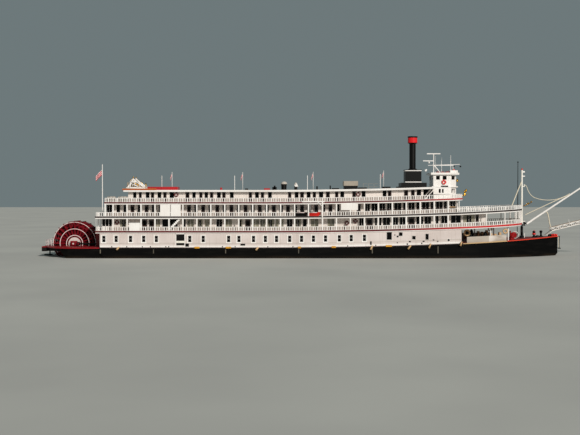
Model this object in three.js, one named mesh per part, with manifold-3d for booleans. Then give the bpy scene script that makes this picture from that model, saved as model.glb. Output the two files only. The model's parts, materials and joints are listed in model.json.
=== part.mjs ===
// Sternwheel passenger paddle steamer, a 1:10 scale model.
// Millimetres. +X is the bow, +Y is port, +Z is up. Z = 0 is the flat bottom of the hull, X = 0 is near midships.
import * as THREE from "three";
import { mergeVertices } from "three/addons/utils/BufferGeometryUtils.js";
import Module from "manifold-3d";

const wasm = await Module();
wasm.setup();

// Driving dimensions of the hull
const GAP = 0.3; // between pieces that stand on each other
const HALF_BEAM = 885;
const TRANSOM_X = -3081;
const STEM_X = 4556;
const BOW_STARTS_X = 2400;
const MAIN_DECK_Z = 384;
const DECK_PLATE = 12;

// Passenger decks: the top of each deck plate, before the sheer is added
const CABIN_DECK_Z = 644;
const TEXAS_DECK_Z = 878;
const SUN_DECK_Z = 1110;
const ROOF_Z = 1316;
const SLAB = 30;
const RAIL_HEIGHT = 76;
const BAY = 225.5; // pitch of the gallery posts
const POST_AT = 74; // the X of one of the posts
const POST = 14;
const RAIL_THICK = 12;
const WALL = 20;

// Sheer: every deck rises towards the bow in straight runs between stations
const STATION = 460;
const SHEER_START_X = -STATION;
const SHEER_RATE = 6.25e-6;

function sheer(x) {
  const rise = (station) => SHEER_RATE * Math.max(0, station - SHEER_START_X) ** 2;
  const aft = SHEER_START_X + Math.floor((x - SHEER_START_X) / STATION) * STATION;
  const share = (x - aft) / STATION;
  return rise(aft) * (1 - share) + rise(aft + STATION) * share;
}

// The X values where a long piece has a section: its ends, the stations between them, and any others
function sections(x0, x1, others = []) {
  const list = [x0, x1, ...others.filter((x) => x > x0 && x < x1)];
  for (let x = SHEER_START_X - 8 * STATION; x < x1; x += STATION) {
    if (x > x0 + 1 && x < x1 - 1) list.push(x);
  }
  const sorted = list.sort((a, b) => a - b);
  return sorted.filter((x, i) => i === 0 || x - sorted[i - 1] > 0.5);
}

// A closed geometry from points and triangles, turned to face outwards
function closedGeometry(points, triangles) {
  let volume = 0;
  const [a, b, c] = [new THREE.Vector3(), new THREE.Vector3(), new THREE.Vector3()];
  for (const [i, j, k] of triangles) {
    a.set(...points[i]);
    b.set(...points[j]);
    c.set(...points[k]);
    volume += a.dot(b.cross(c));
  }
  const facing = volume < 0 ? triangles.map(([i, j, k]) => [i, k, j]) : triangles;
  const geometry = new THREE.BufferGeometry();
  geometry.setAttribute("position", new THREE.Float32BufferAttribute(points.flat(), 3));
  geometry.setIndex(facing.flat());
  return geometry;
}

// A loft through rings of points that all have the same count, with flat ends
function loft(rings) {
  const n = rings[0].length;
  const triangles = [];
  for (let s = 0; s < rings.length - 1; s++) {
    for (let i = 0; i < n; i++) {
      const [p, q] = [s * n + i, s * n + ((i + 1) % n)];
      triangles.push([p, q, q + n], [p, q + n, p + n]);
    }
  }
  const last = (rings.length - 1) * n;
  for (let i = 1; i < n - 1; i++) {
    triangles.push([0, i + 1, i], [last, last + i, last + i + 1]);
  }
  return closedGeometry(rings.flat(), triangles);
}

// A flat-sided beam between two X values that follows the sheer
function beam(x0, x1, y0, y1, z0, z1) {
  return loft(
    sections(x0, x1).map((x) => {
      const up = sheer(x);
      return [
        [x, y0, z0 + up],
        [x, y1, z0 + up],
        [x, y1, z1 + up],
        [x, y0, z1 + up],
      ];
    }),
  );
}

function box(x0, x1, y0, y1, z0, z1) {
  const geometry = new THREE.BoxGeometry(x1 - x0, y1 - y0, z1 - z0);
  return geometry.translate((x0 + x1) / 2, (y0 + y1) / 2, (z0 + z1) / 2);
}

// A round bar between two points, with its two radii
function bar(from, to, radius, sides = 12, endRadius = radius) {
  const a = new THREE.Vector3(...from);
  const b = new THREE.Vector3(...to);
  const along = b.clone().sub(a);
  const geometry = new THREE.CylinderGeometry(endRadius, radius, along.length(), sides);
  const turn = new THREE.Quaternion().setFromUnitVectors(
    new THREE.Vector3(0, 1, 0),
    along.clone().normalize(),
  );
  return geometry.applyQuaternion(turn).translate(...a.add(b).multiplyScalar(0.5).toArray());
}

// A turned piece on a vertical axis from [radius, height] points
function turned(profile, x, y, z, sides = 16) {
  const points = profile.map(([r, h]) => new THREE.Vector2(r, h));
  return new THREE.LatheGeometry(points, sides).rotateX(Math.PI / 2).translate(x, y, z);
}

// A plate of cells, some of them open. Columns run along a path and rows across it.
// place(column, row, side) gives the point on either face of the plate.
function grille(columns, rows, filled, place, closed = false) {
  const across = columns.length - 1;
  const points = [];
  const known = new Map();
  const triangles = [];
  const corner = (i, j, side) => {
    const column = closed && i === across ? 0 : i;
    const key = `${column},${j},${side}`;
    if (!known.has(key)) {
      known.set(key, points.length);
      points.push(place(columns[column], rows[j], side));
    }
    return known.get(key);
  };
  const quad = (a, b, c, d) => triangles.push([a, b, c], [a, c, d]);
  const isFilled = (i, j) => {
    const column = closed ? (i + across) % across : i;
    return column >= 0 && column < across && j >= 0 && j < rows.length - 1 && filled(column, j);
  };
  for (let i = 0; i < across; i++) {
    for (let j = 0; j < rows.length - 1; j++) {
      if (!isFilled(i, j)) continue;
      const at = (di, dj, side) => corner(i + di, j + dj, side);
      quad(at(0, 0, 1), at(1, 0, 1), at(1, 1, 1), at(0, 1, 1));
      quad(at(0, 0, 0), at(0, 1, 0), at(1, 1, 0), at(1, 0, 0));
      if (!isFilled(i - 1, j)) quad(at(0, 0, 0), at(0, 0, 1), at(0, 1, 1), at(0, 1, 0));
      if (!isFilled(i + 1, j)) quad(at(1, 0, 0), at(1, 1, 0), at(1, 1, 1), at(1, 0, 1));
      if (!isFilled(i, j - 1)) quad(at(0, 0, 0), at(1, 0, 0), at(1, 0, 1), at(0, 0, 1));
      if (!isFilled(i, j + 1)) quad(at(0, 1, 0), at(0, 1, 1), at(1, 1, 1), at(1, 1, 0));
    }
  }
  return closedGeometry(points, triangles);
}

// Joining and cutting
function solidOf(piece) {
  if (!piece.isBufferGeometry) return piece;
  const bare = piece.clone();
  bare.deleteAttribute("normal");
  bare.deleteAttribute("uv");
  const merged = mergeVertices(bare, 1e-3);
  return new wasm.Manifold(
    new wasm.Mesh({
      numProp: 3,
      vertProperties: merged.attributes.position.array,
      triVerts: new Uint32Array(merged.index.array),
    }),
  );
}

const join = (...pieces) => pieces.flat().map(solidOf).reduce((all, one) => all.add(one));
const cut = (piece, ...tools) =>
  tools.flat().map(solidOf).reduce((left, tool) => left.subtract(tool), solidOf(piece));

function geometryOf(piece) {
  if (piece.isBufferGeometry) return piece;
  const { numProp, vertProperties, triVerts, numVert } = piece.getMesh();
  const positions = new Float32Array(numVert * 3);
  for (let i = 0; i < numVert; i++) {
    positions.set(vertProperties.subarray(i * numProp, i * numProp + 3), i * 3);
  }
  const geometry = new THREE.BufferGeometry();
  geometry.setAttribute("position", new THREE.BufferAttribute(positions, 3));
  return geometry.setIndex(new THREE.BufferAttribute(triVerts, 1));
}

// Finishes
const finish = (color, roughness, metalness = 0) =>
  new THREE.MeshStandardMaterial({ color, roughness, metalness });
const WHITE_PAINT = finish(0xf1efe6, 0.5);
const DECK_RED = finish(0x8e2416, 0.7);
const HULL_BLACK = finish(0x0c0c0c, 0.5);
const WHEEL_RED = finish(0x9a0a16, 0.6);
const STEEL_BLACK = finish(0x0a0809, 0.45, 0.2);
const ORANGE_RED = finish(0xd23c1e, 0.5);
const VARNISH = finish(0x3b2418, 0.5);
const BRASS = finish(0xb98e3a, 0.35, 1);
const GLASS = finish(0x2a2d2f, 0.1);
const FLAG_CLOTH = finish(0xc8323a, 0.9);
const ROPE_FIBRE = finish(0xcfc6ae, 0.9);
const ENGINE_GREY = finish(0x4d5254, 0.6, 0.3);

const steamer = new THREE.Group();

function node(name, piece, material, parent = steamer) {
  const mesh = new THREE.Mesh(geometryOf(piece), material);
  mesh.name = name;
  parent.add(mesh);
  return mesh;
}

const SIDES = [
  ["starboard", -1],
  ["port", 1],
];

// Plan outlines, as [x, half-width] points from aft to forward
const BOW_FULLNESS = 2.2;
const hullHalfBeam = (x) => {
  const t = Math.max(0, (x - BOW_STARTS_X) / (STEM_X - BOW_STARTS_X));
  return Math.max(14, HALF_BEAM * (1 - t ** BOW_FULLNESS));
};
const BOW_SECTIONS = [2400, 2760, 3060, 3330, 3580, 3820, 4030, 4220, 4380, 4490];

// The galleries narrow to a blunt round end over the foredeck
const GALLERY_AFT_X = -3145;
const GALLERY_FORWARD_X = 3905;
const GALLERY_BOW_STARTS_X = 2760;
const GALLERY_NOSE_STEPS = [0, 0.22, 0.43, 0.62, 0.78, 0.9, 0.97];
function galleryOutline() {
  const length = GALLERY_FORWARD_X - GALLERY_BOW_STARTS_X;
  const nose = GALLERY_NOSE_STEPS.map((t) => [
    GALLERY_BOW_STARTS_X + length * Math.sin((t * Math.PI) / 2) ** 0.9,
    HALF_BEAM * Math.cos((t * Math.PI) / 2) ** 0.72,
  ]);
  const [, tip] = nose[nose.length - 1];
  return [[GALLERY_AFT_X, HALF_BEAM], ...nose, [GALLERY_FORWARD_X, tip * 0.82]];
}
const widthAlong = (outline) => (x) => {
  const i = Math.max(1, outline.findIndex(([at]) => at >= x - 1e-6));
  const [[x0, w0], [x1, w1]] = [outline[i - 1], outline[i]];
  return w0 + ((w1 - w0) * (x - x0)) / (x1 - x0);
};

// A deck plate over a plan outline
function deckPlate(outline, top, thickness) {
  const width = widthAlong(outline);
  const xs = sections(
    outline[0][0],
    outline[outline.length - 1][0],
    outline.map(([x]) => x),
  );
  return loft(
    xs.map((x) => {
      const [w, z] = [width(x), top + sheer(x)];
      return [
        [x, -w, z - thickness],
        [x, w, z - thickness],
        [x, w, z],
        [x, -w, z],
      ];
    }),
  );
}

// Hull: a shallow flat-bottomed barge body, raked under the stern and at the stem
const STERN_RAKE_STARTS_X = -2650;
const STERN_RAKE_HEIGHT = 190;
const FOREFOOT_X = 4000;
const FOREFOOT_HEIGHT = 250;
const BILGE = 110;

function hullBottom(x) {
  if (x < STERN_RAKE_STARTS_X) {
    const t = (STERN_RAKE_STARTS_X - x) / (STERN_RAKE_STARTS_X - TRANSOM_X);
    return STERN_RAKE_HEIGHT * t ** 1.3;
  }
  const t = Math.max(0, (x - FOREFOOT_X) / (STEM_X - FOREFOOT_X));
  return FOREFOOT_HEIGHT * t ** 2.6;
}

function hullSection(x) {
  const half = hullHalfBeam(x) - 4;
  const bottom = hullBottom(x);
  const top = MAIN_DECK_Z - DECK_PLATE - GAP + sheer(x);
  const bilge = Math.min(BILGE, half * 0.45, (top - bottom) * 0.5);
  const side = [
    [half, top],
    [half, bottom + bilge],
    [half - bilge * 0.3, bottom + bilge * 0.3],
    [half - bilge, bottom],
  ];
  const ring = [...side, ...side.map(([y, z]) => [-y, z]).reverse()];
  return ring.map(([y, z]) => [x, y, z]);
}

const hullSections = sections(TRANSOM_X, STEM_X, [
  STERN_RAKE_STARTS_X,
  -2800,
  -2940,
  ...BOW_SECTIONS,
  FOREFOOT_X,
]);

// Paddle wheel and the timbers that carry it
const WHEEL_X = -3618;
const WHEEL_Z = 423;
const WHEEL_RADIUS = 379;
const WHEEL_HALF_WIDTH = 252;
const ARMS = 24;
const SHAFT_RADIUS = 25;
const CRANK_RADIUS = 90;
const TIMBER_INNER = 268;
const TIMBER_OUTER = 326;
const SLOT_OUTER = 395;
const FANTAIL_PLATE = 24;
const FANTAIL_TIP_X = -4137;
const FANTAIL_CURVE_STARTS_X = -3480;
const AFT_BEAM_X = -4022;
const WELL_FORWARD_X = TRANSOM_X - GAP;

// Rudders: two ahead of the wheel under the stern rake, one behind it
const MAIN_RUDDER = { x: -3170, ahead: 72, behind: 118, low: 36, high: 172, top: 352 };
const MONKEY_RUDDER = { x: -4092, ahead: 44, behind: 96, low: 60, high: 232, top: 372 };
const MAIN_RUDDER_Y = 180;
const RUDDERS = [
  // name, y, sizes
  ["main_rudder_starboard", -MAIN_RUDDER_Y, MAIN_RUDDER],
  ["main_rudder_port", MAIN_RUDDER_Y, MAIN_RUDDER],
  ["monkey_rudder", 0, MONKEY_RUDDER],
];
const STOCK_RADIUS = 11;
const SHELF = { aft: -3214, bottom: 300, top: 336 };
const AFT_GIRDER = { aft: -4128, forward: -4044, half: 420, bottom: 300 };

const stockBore = (x, y) => bar([x, y, 200], [x, y, 420], STOCK_RADIUS + 0.7, 24);

const wing = (side) => {
  const outer = (x) => fantailHalfWidth(x) - 22;
  const xs = [-3720, -3600, FANTAIL_CURVE_STARTS_X, -3300, TRANSOM_X + 60];
  const bottom = [300, 150, 118, 118, 118];
  return loft(
    xs.map((x, i) => {
      const [near, far] = [side * (SLOT_OUTER + 3), side * outer(x)];
      const low = bottom[i];
      return [
        [x, near, low],
        [x, far, low + 10],
        [x, far, MAIN_DECK_Z - FANTAIL_PLATE - GAP],
        [x, near, MAIN_DECK_Z - FANTAIL_PLATE - GAP],
      ];
    }),
  );
};

function fantailHalfWidth(x) {
  const reach = FANTAIL_CURVE_STARTS_X - FANTAIL_TIP_X;
  const t = Math.min(1, Math.max(0, (FANTAIL_CURVE_STARTS_X - x) / reach));
  return HALF_BEAM * (1 - t ** 2.4) ** 0.6;
}

const shelf = box(SHELF.aft, TRANSOM_X + 40, -TIMBER_INNER + 8, TIMBER_INNER - 8, SHELF.bottom, SHELF.top);
const hullBody = join(loft(hullSections.map(hullSection)), shelf, wing(-1), wing(1));
const mainStockBores = [-MAIN_RUDDER_Y, MAIN_RUDDER_Y].map((y) => stockBore(MAIN_RUDDER.x, y));
node("hull", cut(hullBody, mainStockBores), HULL_BLACK);

const mainDeckOutline = [
  [TRANSOM_X, HALF_BEAM],
  ...BOW_SECTIONS.map((x) => [x, hullHalfBeam(x) + 6]),
  [STEM_X + 6, 26],
];
// It carries a bulwark along the open foredeck and a chock at the stem
const BULWARK = { aft: 2868, forward: 3548, inset: 14, thick: 10, height: 100 };
const bulwark = (side) =>
  loft(
    sections(BULWARK.aft, BULWARK.forward, BOW_SECTIONS).map((x) => {
      const outer = side * (hullHalfBeam(x) - BULWARK.inset);
      const inner = outer - side * BULWARK.thick;
      const z = MAIN_DECK_Z + sheer(x);
      return [
        [x, outer, z - 5],
        [x, inner, z - 5],
        [x, inner, z + BULWARK.height],
        [x, outer, z + BULWARK.height],
      ];
    }),
  );
node(
  "main_deck",
  join(deckPlate(mainDeckOutline, MAIN_DECK_Z, DECK_PLATE), bulwark(-1), bulwark(1)),
  DECK_RED,
);

// Fantail: the deck that runs round the wheel, its shaft timbers, bearings and aft girder
const FANTAIL_STEPS = [0, 0.3, 0.52, 0.7, 0.84, 0.94];
function fantailDeck() {
  const curve = FANTAIL_STEPS.map((t) => {
    const x = FANTAIL_CURVE_STARTS_X + (FANTAIL_TIP_X - FANTAIL_CURVE_STARTS_X) * t;
    return [x, fantailHalfWidth(x)];
  });
  curve.push([FANTAIL_TIP_X, fantailHalfWidth(curve[curve.length - 1][0]) * 0.55]);
  const outer = [[WELL_FORWARD_X, HALF_BEAM], ...curve];
  const outline = [
    ...outer.map(([x, w]) => [x, -w]),
    ...outer.map(([x, w]) => [x, w]).reverse(),
    [WELL_FORWARD_X, SLOT_OUTER],
    [WHEEL_X - 150, SLOT_OUTER],
    [WHEEL_X - 150, TIMBER_OUTER],
    [WELL_FORWARD_X, TIMBER_OUTER],
    [WELL_FORWARD_X, TIMBER_INNER],
    [AFT_BEAM_X, TIMBER_INNER],
    [AFT_BEAM_X, -TIMBER_INNER],
    [WELL_FORWARD_X, -TIMBER_INNER],
    [WELL_FORWARD_X, -TIMBER_OUTER],
    [WHEEL_X - 150, -TIMBER_OUTER],
    [WHEEL_X - 150, -SLOT_OUTER],
    [WELL_FORWARD_X, -SLOT_OUTER],
  ];
  const shape = new THREE.Shape(outline.map(([x, y]) => new THREE.Vector2(x, y)));
  const plate = new THREE.ExtrudeGeometry(shape, { depth: FANTAIL_PLATE, bevelEnabled: false });
  return plate.translate(0, 0, MAIN_DECK_Z - FANTAIL_PLATE);
}

const shaftBearing = (side) => {
  const [y0, y1] = [side * (TIMBER_INNER + 6), side * (TIMBER_OUTER - 6)].sort((a, b) => a - b);
  return box(WHEEL_X - 55, WHEEL_X + 55, y0, y1, MAIN_DECK_Z - 4, WHEEL_Z + 44);
};
const shaftTimber = (side) => {
  const [y0, y1] = [side * TIMBER_INNER, side * TIMBER_OUTER].sort((a, b) => a - b);
  return box(AFT_GIRDER.aft, WELL_FORWARD_X, y0, y1, 300, MAIN_DECK_Z - 4);
};
const aftGirder = box(
  AFT_GIRDER.aft,
  AFT_GIRDER.forward,
  -AFT_GIRDER.half,
  AFT_GIRDER.half,
  AFT_GIRDER.bottom,
  MAIN_DECK_Z - 4,
);
node(
  "fantail",
  cut(
    join(
      fantailDeck(),
      aftGirder,
      ...SIDES.flatMap(([, side]) => [shaftTimber(side), shaftBearing(side)]),
    ),
    bar([WHEEL_X, -400, WHEEL_Z], [WHEEL_X, 400, WHEEL_Z], SHAFT_RADIUS + 1, 24),
    stockBore(MONKEY_RUDDER.x, 0),
  ),
  DECK_RED,
);

// Wheel frames: arms and rings in one plane, as a polar grille
const RIM_RINGS = [
  // inner radius, outer radius
  [351, 363],
  [237, 249],
  [131, 143],
];
const HUB_RADIUS = 107;
const ARM_HALF_WIDTH = 5;
const FRAME_THICK = 10;

function wheelFrame(y, rings) {
  const pitch = (2 * Math.PI) / ARMS;
  const columns = [];
  for (let i = 0; i < ARMS; i++) columns.push(i * pitch, i * pitch + 0.001);
  columns.push(2 * Math.PI);
  const rows = [SHAFT_RADIUS - 4, HUB_RADIUS, ...rings.flat().sort((a, b) => a - b)];
  if (rings.length === 0) rows.push(RIM_RINGS[0][0]);
  const solidRow = (j) => j === 0 || rings.some(([inner]) => inner === rows[j]);
  const place = (angle, r, side) => {
    const arm = Math.round(angle / pitch - 0.002) * pitch;
    const edge = angle - arm > 0.0005 ? ARM_HALF_WIDTH : -ARM_HALF_WIDTH;
    const [along, across] = [Math.sqrt(Math.max(0, r * r - edge * edge)), edge];
    const [c, s] = [Math.cos(arm), Math.sin(arm)];
    return [
      WHEEL_X + along * c - across * s,
      y + (side - 0.5) * FRAME_THICK,
      WHEEL_Z + along * s + across * c,
    ];
  };
  return grille(columns, rows, (i, j) => i % 2 === 0 || solidRow(j), place, true);
}

const BUCKET_INNER = 251;
const BUCKET_THICK = 6;
function bucketBoards() {
  return Array.from({ length: ARMS }, (_, i) => {
    const board = box(BUCKET_INNER, WHEEL_RADIUS - 1, -WHEEL_HALF_WIDTH, WHEEL_HALF_WIDTH, 0, BUCKET_THICK);
    board.rotateY((-i * 2 * Math.PI) / ARMS);
    return board.translate(WHEEL_X, 0, WHEEL_Z);
  });
}

const CRANK_Y = [334, 357];
const PIN_END_Y = 387;
const PITMAN_Y = [361, 383];
const PITMAN_LENGTH = 400;
const PIN_RADIUS = 14;
const crankPinX = WHEEL_X + CRANK_RADIUS;
function crank(side) {
  const [y0, y1] = CRANK_Y.map((y) => side * y).sort((a, b) => a - b);
  const web = box(WHEEL_X - 38, crankPinX + 26, y0, y1, WHEEL_Z - 30, WHEEL_Z + 30);
  const pinFrom = [crankPinX, side * (CRANK_Y[1] - 5), WHEEL_Z];
  return [web, bar(pinFrom, [crankPinX, side * PIN_END_Y, WHEEL_Z], PIN_RADIUS, 16)];
}

const FRAME_Y = WHEEL_HALF_WIDTH - 12;
node(
  "paddle_wheel",
  join(
    wheelFrame(-FRAME_Y, RIM_RINGS),
    wheelFrame(FRAME_Y, RIM_RINGS),
    wheelFrame(0, []),
    bucketBoards(),
    bar([WHEEL_X, -CRANK_Y[1] + 4, WHEEL_Z], [WHEEL_X, CRANK_Y[1] - 4, WHEEL_Z], SHAFT_RADIUS, 16),
    crank(-1),
    crank(1),
  ),
  WHEEL_RED,
);

// Pitmans: the rods from the engines to the cranks
for (const [word, side] of SIDES) {
  const [y0, y1] = PITMAN_Y.map((y) => side * y).sort((a, b) => a - b);
  const rod = box(crankPinX, crankPinX + PITMAN_LENGTH, y0, y1, WHEEL_Z - 12, WHEEL_Z + 12);
  const bigEnd = bar([crankPinX, y0, WHEEL_Z], [crankPinX, y1, WHEEL_Z], 30, 16);
  const smallEndX = crankPinX + PITMAN_LENGTH;
  const smallEnd = bar([smallEndX, y0, WHEEL_Z], [smallEndX, y1, WHEEL_Z], 18, 16);
  const bore = bar([crankPinX, y0 - 5, WHEEL_Z], [crankPinX, y1 + 5, WHEEL_Z], PIN_RADIUS + 0.8, 16);
  node(`pitman_${word}`, cut(join(rod, bigEnd, smallEnd), bore), WHEEL_RED);
}

// Engines: one long cylinder block each side on the main deck, with its piston rod reaching aft
for (const [word, side] of SIDES) {
  const centre = side * ((PITMAN_Y[0] + PITMAN_Y[1]) / 2);
  const block = box(-2960, -2300, centre - 70, centre + 70, MAIN_DECK_Z + GAP, MAIN_DECK_Z + 120);
  const rod = bar([-2980, centre, WHEEL_Z], [-3104, centre, WHEEL_Z], 12, 12);
  node(`engine_block_${word}`, join(block, rod, bar([-2950, centre, WHEEL_Z], [-2985, centre, WHEEL_Z], 24)), ENGINE_GREY);
}

for (const [name, y, { x, ahead, behind, low, high, top }] of RUDDERS) {
  const blade = box(x - behind, x + ahead, y - 7, y + 7, low, high);
  const stock = bar([x, y, low], [x, y, top], STOCK_RADIUS, 16);
  node(name, join(blade, stock), STEEL_BLACK);
}

// Deckhouses: side walls and end walls that stand between one deck and the next
const MAIN_HOUSE_FORWARD_X = 2774;
const HOUSES = [
  // name, aft x, forward x, half-width, floor, ceiling
  ["main_house", TRANSOM_X + 4, MAIN_HOUSE_FORWARD_X, 872, MAIN_DECK_Z, CABIN_DECK_Z - SLAB],
  ["cabin_house", -2990, 3200, 690, CABIN_DECK_Z, TEXAS_DECK_Z - SLAB],
  ["texas_house", -2990, 2740, 690, TEXAS_DECK_Z, SUN_DECK_Z - SLAB],
  ["sun_house", -2657, 2190, 610, SUN_DECK_Z, ROOF_Z - SLAB],
];
const DOOR_SEAM = 4;
const HINGE_SEAM = 0.4;
const FREIGHT_DOOR = { aft: -1839, forward: -1709, bottom: 422, top: 596 };
const ENGINE_ROD_PORT = { inner: 352, outer: 392, bottom: WHEEL_Z - 25, top: WHEEL_Z + 25 };

for (const [name, aft, forward, half, floor, ceiling] of HOUSES) {
  const [low, high] = [floor + GAP, ceiling - GAP];
  for (const [word, side] of SIDES) {
    const [y0, y1] = [side * half, side * (half - WALL)].sort((a, b) => a - b);
    let wall = beam(aft, forward, y0, y1, low, high);
    if (name === "main_house" && side < 0) {
      const { aft: doorAft, forward: doorForward, bottom, top } = FREIGHT_DOOR;
      const doorway = [bottom - DOOR_SEAM, top + DOOR_SEAM];
      wall = cut(wall, box(doorAft - HINGE_SEAM, doorForward + DOOR_SEAM, y0 - 5, y1 + 5, ...doorway));
    }
    node(`${name}_${word}_wall`, wall, WHITE_PAINT);
  }
  const inner = half - WALL - GAP;
  let aftWall = beam(aft, aft + WALL, -inner, inner, low, high);
  if (name === "main_house") {
    const { inner: y0, outer: y1, bottom, top } = ENGINE_ROD_PORT;
    const ports = [box(aft - 5, aft + 40, y0, y1, bottom, top), box(aft - 5, aft + 40, -y1, -y0, bottom, top)];
    aftWall = cut(aftWall, ports);
  }
  node(`${name}_aft_wall`, aftWall, WHITE_PAINT);
  node(`${name}_forward_wall`, beam(forward - WALL, forward, -inner, inner, low, high), WHITE_PAINT);
}

const FREIGHT_DOOR_THICK = 16;
node(
  "freight_door",
  box(
    FREIGHT_DOOR.aft,
    FREIGHT_DOOR.forward,
    -872,
    -872 + FREIGHT_DOOR_THICK,
    FREIGHT_DOOR.bottom,
    FREIGHT_DOOR.top,
  ),
  VARNISH,
);

// Boilers: one plain block forward in the main house
node("boiler_block", beam(1500, 2250, -420, 420, MAIN_DECK_Z + GAP, MAIN_DECK_Z + 190), ENGINE_GREY);

// Galleries, with the pillars that carry the cabin deck over the open foredeck
const gallery = galleryOutline();
const PILLARS = [3276, 3590];
const PILLAR_RADIUS = 11;
const footOnMainDeck = (highestX) => MAIN_DECK_Z + sheer(highestX) + GAP;
const pillar = (x, side) => {
  const y = side * (Math.min(widthAlong(gallery)(x), hullHalfBeam(x)) - 60);
  return bar(
    [x, y, footOnMainDeck(x + PILLAR_RADIUS)],
    [x, y, CABIN_DECK_Z - SLAB / 2 + sheer(x)],
    PILLAR_RADIUS,
    8,
  );
};
const STAIR = { aft: -1990, forward: -1790, inner: 715, outer: 855, steps: 9, tread: 22 };
function galleryStair() {
  const run = (STAIR.forward - STAIR.aft) / STAIR.steps;
  const rise = (TEXAS_DECK_Z - SLAB - GAP - CABIN_DECK_Z) / STAIR.steps;
  return Array.from({ length: STAIR.steps }, (_, i) => {
    const [x, z] = [STAIR.aft + i * run, CABIN_DECK_Z + (i + 1) * rise];
    return box(x - 2, x + run + 2, -STAIR.outer, -STAIR.inner, z - rise - STAIR.tread / 2, z);
  });
}
node(
  "cabin_deck",
  join(
    deckPlate(gallery, CABIN_DECK_Z, SLAB),
    galleryStair(),
    PILLARS.flatMap((x) => [pillar(x, -1), pillar(x, 1)]),
  ),
  WHITE_PAINT,
);

// The texas deck carries the stern flagstaff on a bracket
const STAFF_X = -3194;
const STAFF_TOP = 1757;
const STAFF_FOOT = TEXAS_DECK_Z - 24;
node(
  "texas_deck",
  join(
    deckPlate(gallery, TEXAS_DECK_Z, SLAB),
    box(STAFF_X - 12, GALLERY_AFT_X + 10, -12, 12, STAFF_FOOT, STAFF_FOOT + 18),
    bar([STAFF_X, 0, STAFF_FOOT], [STAFF_X, 0, STAFF_TOP], 9, 8, 6),
  ),
  WHITE_PAINT,
);
node("stern_flag", box(STAFF_X - 101, STAFF_X - 7.4, -2, 2, 1466, 1660), FLAG_CLOTH);

const SUN_DECK_AFT_X = -3000;
const SUN_DECK_CURVE_X = 2620;
const sunDeckOutline = [
  [SUN_DECK_AFT_X, HALF_BEAM],
  [SUN_DECK_CURVE_X, HALF_BEAM],
  [2760, 800],
  [2825, 650],
  [2860, 400],
  [2870, 200],
];
const SUN_PILLAR = { x: 2750, y: 765, radius: 9 };
const sunPillar = (side) => {
  const { x, y, radius } = SUN_PILLAR;
  const foot = TEXAS_DECK_Z + sheer(x + radius) + GAP;
  return bar([x, side * y, foot], [x, side * y, SUN_DECK_Z - SLAB / 2 + sheer(x)], radius, 8);
};
node(
  "sun_deck",
  join(deckPlate(sunDeckOutline, SUN_DECK_Z, SLAB), sunPillar(-1), sunPillar(1)),
  WHITE_PAINT,
);

// Rails and gallery posts: one plate for each side, from the centreline aft to the centreline forward.
// from and to limit it to the posts between two X values.
const RAIL_ROWS = [GAP, RAIL_HEIGHT - 8, RAIL_HEIGHT];
function railing({ outline, side, floor, ceiling, cover, pitch, from = -Infinity, to = Infinity }) {
  const width = widthAlong(outline);
  const inset = RAIL_THICK / 2 + 2;
  const aft = outline[0][0] + inset;
  const forward = outline[outline.length - 1][0] - inset;
  const path = [];
  const aftPosts = 4;
  for (let i = 0; i < aftPosts; i++) {
    path.push([aft, GAP + POST / 2 + ((HALF_BEAM - inset - 10) * i) / aftPosts]);
  }
  path.push([aft, HALF_BEAM - inset]);
  const curveStart = outline[1][0];
  const firstPost = POST_AT + Math.ceil((aft + 100 - POST_AT) / pitch) * pitch;
  for (let x = firstPost; x <= curveStart; x += pitch) {
    path.push([x, HALF_BEAM - inset]);
  }
  for (const [x] of outline.slice(2, -1)) path.push([x - inset, width(x) - inset]);
  const noseHalf = width(forward) - inset;
  path.push([forward, noseHalf], [forward, GAP + POST / 2]);
  const columns = [];
  const reach = [];
  let s = 0;
  path.forEach((point, i) => {
    if (i) s += Math.hypot(point[0] - path[i - 1][0], point[1] - path[i - 1][1]);
    reach.push(s);
    columns.push(s - POST / 2, s + POST / 2);
  });
  const at = (distance) => {
    const i = Math.min(Math.max(1, reach.findIndex((r) => r >= distance)), path.length - 1);
    const last = distance > reach[reach.length - 1] ? path.length - 1 : i;
    const [p, q] = [path[last - 1], path[last]];
    const run = reach[last] - reach[last - 1];
    const [ux, uy] = [(q[0] - p[0]) / run, (q[1] - p[1]) / run];
    const t = distance - reach[last - 1];
    return { x: p[0] + ux * t, y: p[1] + uy * t, nx: -uy, ny: ux };
  };
  const postX = path.map(([x]) => x);
  const rows = ceiling ? [...RAIL_ROWS, ceiling - floor - GAP] : RAIL_ROWS;
  const standing = postX.map((x) => x >= from && x <= to);
  const filled = (i, j) => {
    const post = Math.floor(i / 2);
    if (!standing[post] || !standing[Math.ceil(i / 2)]) return false;
    if (j === 2) return i % 2 === 0 && postX[post] >= cover[0] && postX[post] <= cover[1];
    return i % 2 === 0 || j === 1;
  };
  const place = (distance, height, face) => {
    const { x, y, nx, ny } = at(distance);
    const out = (face - 0.5) * RAIL_THICK;
    const px = x + nx * out;
    return [px, side * (y + ny * out), floor + height + sheer(px)];
  };
  return grille(columns, rows, filled, place);
}

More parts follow.
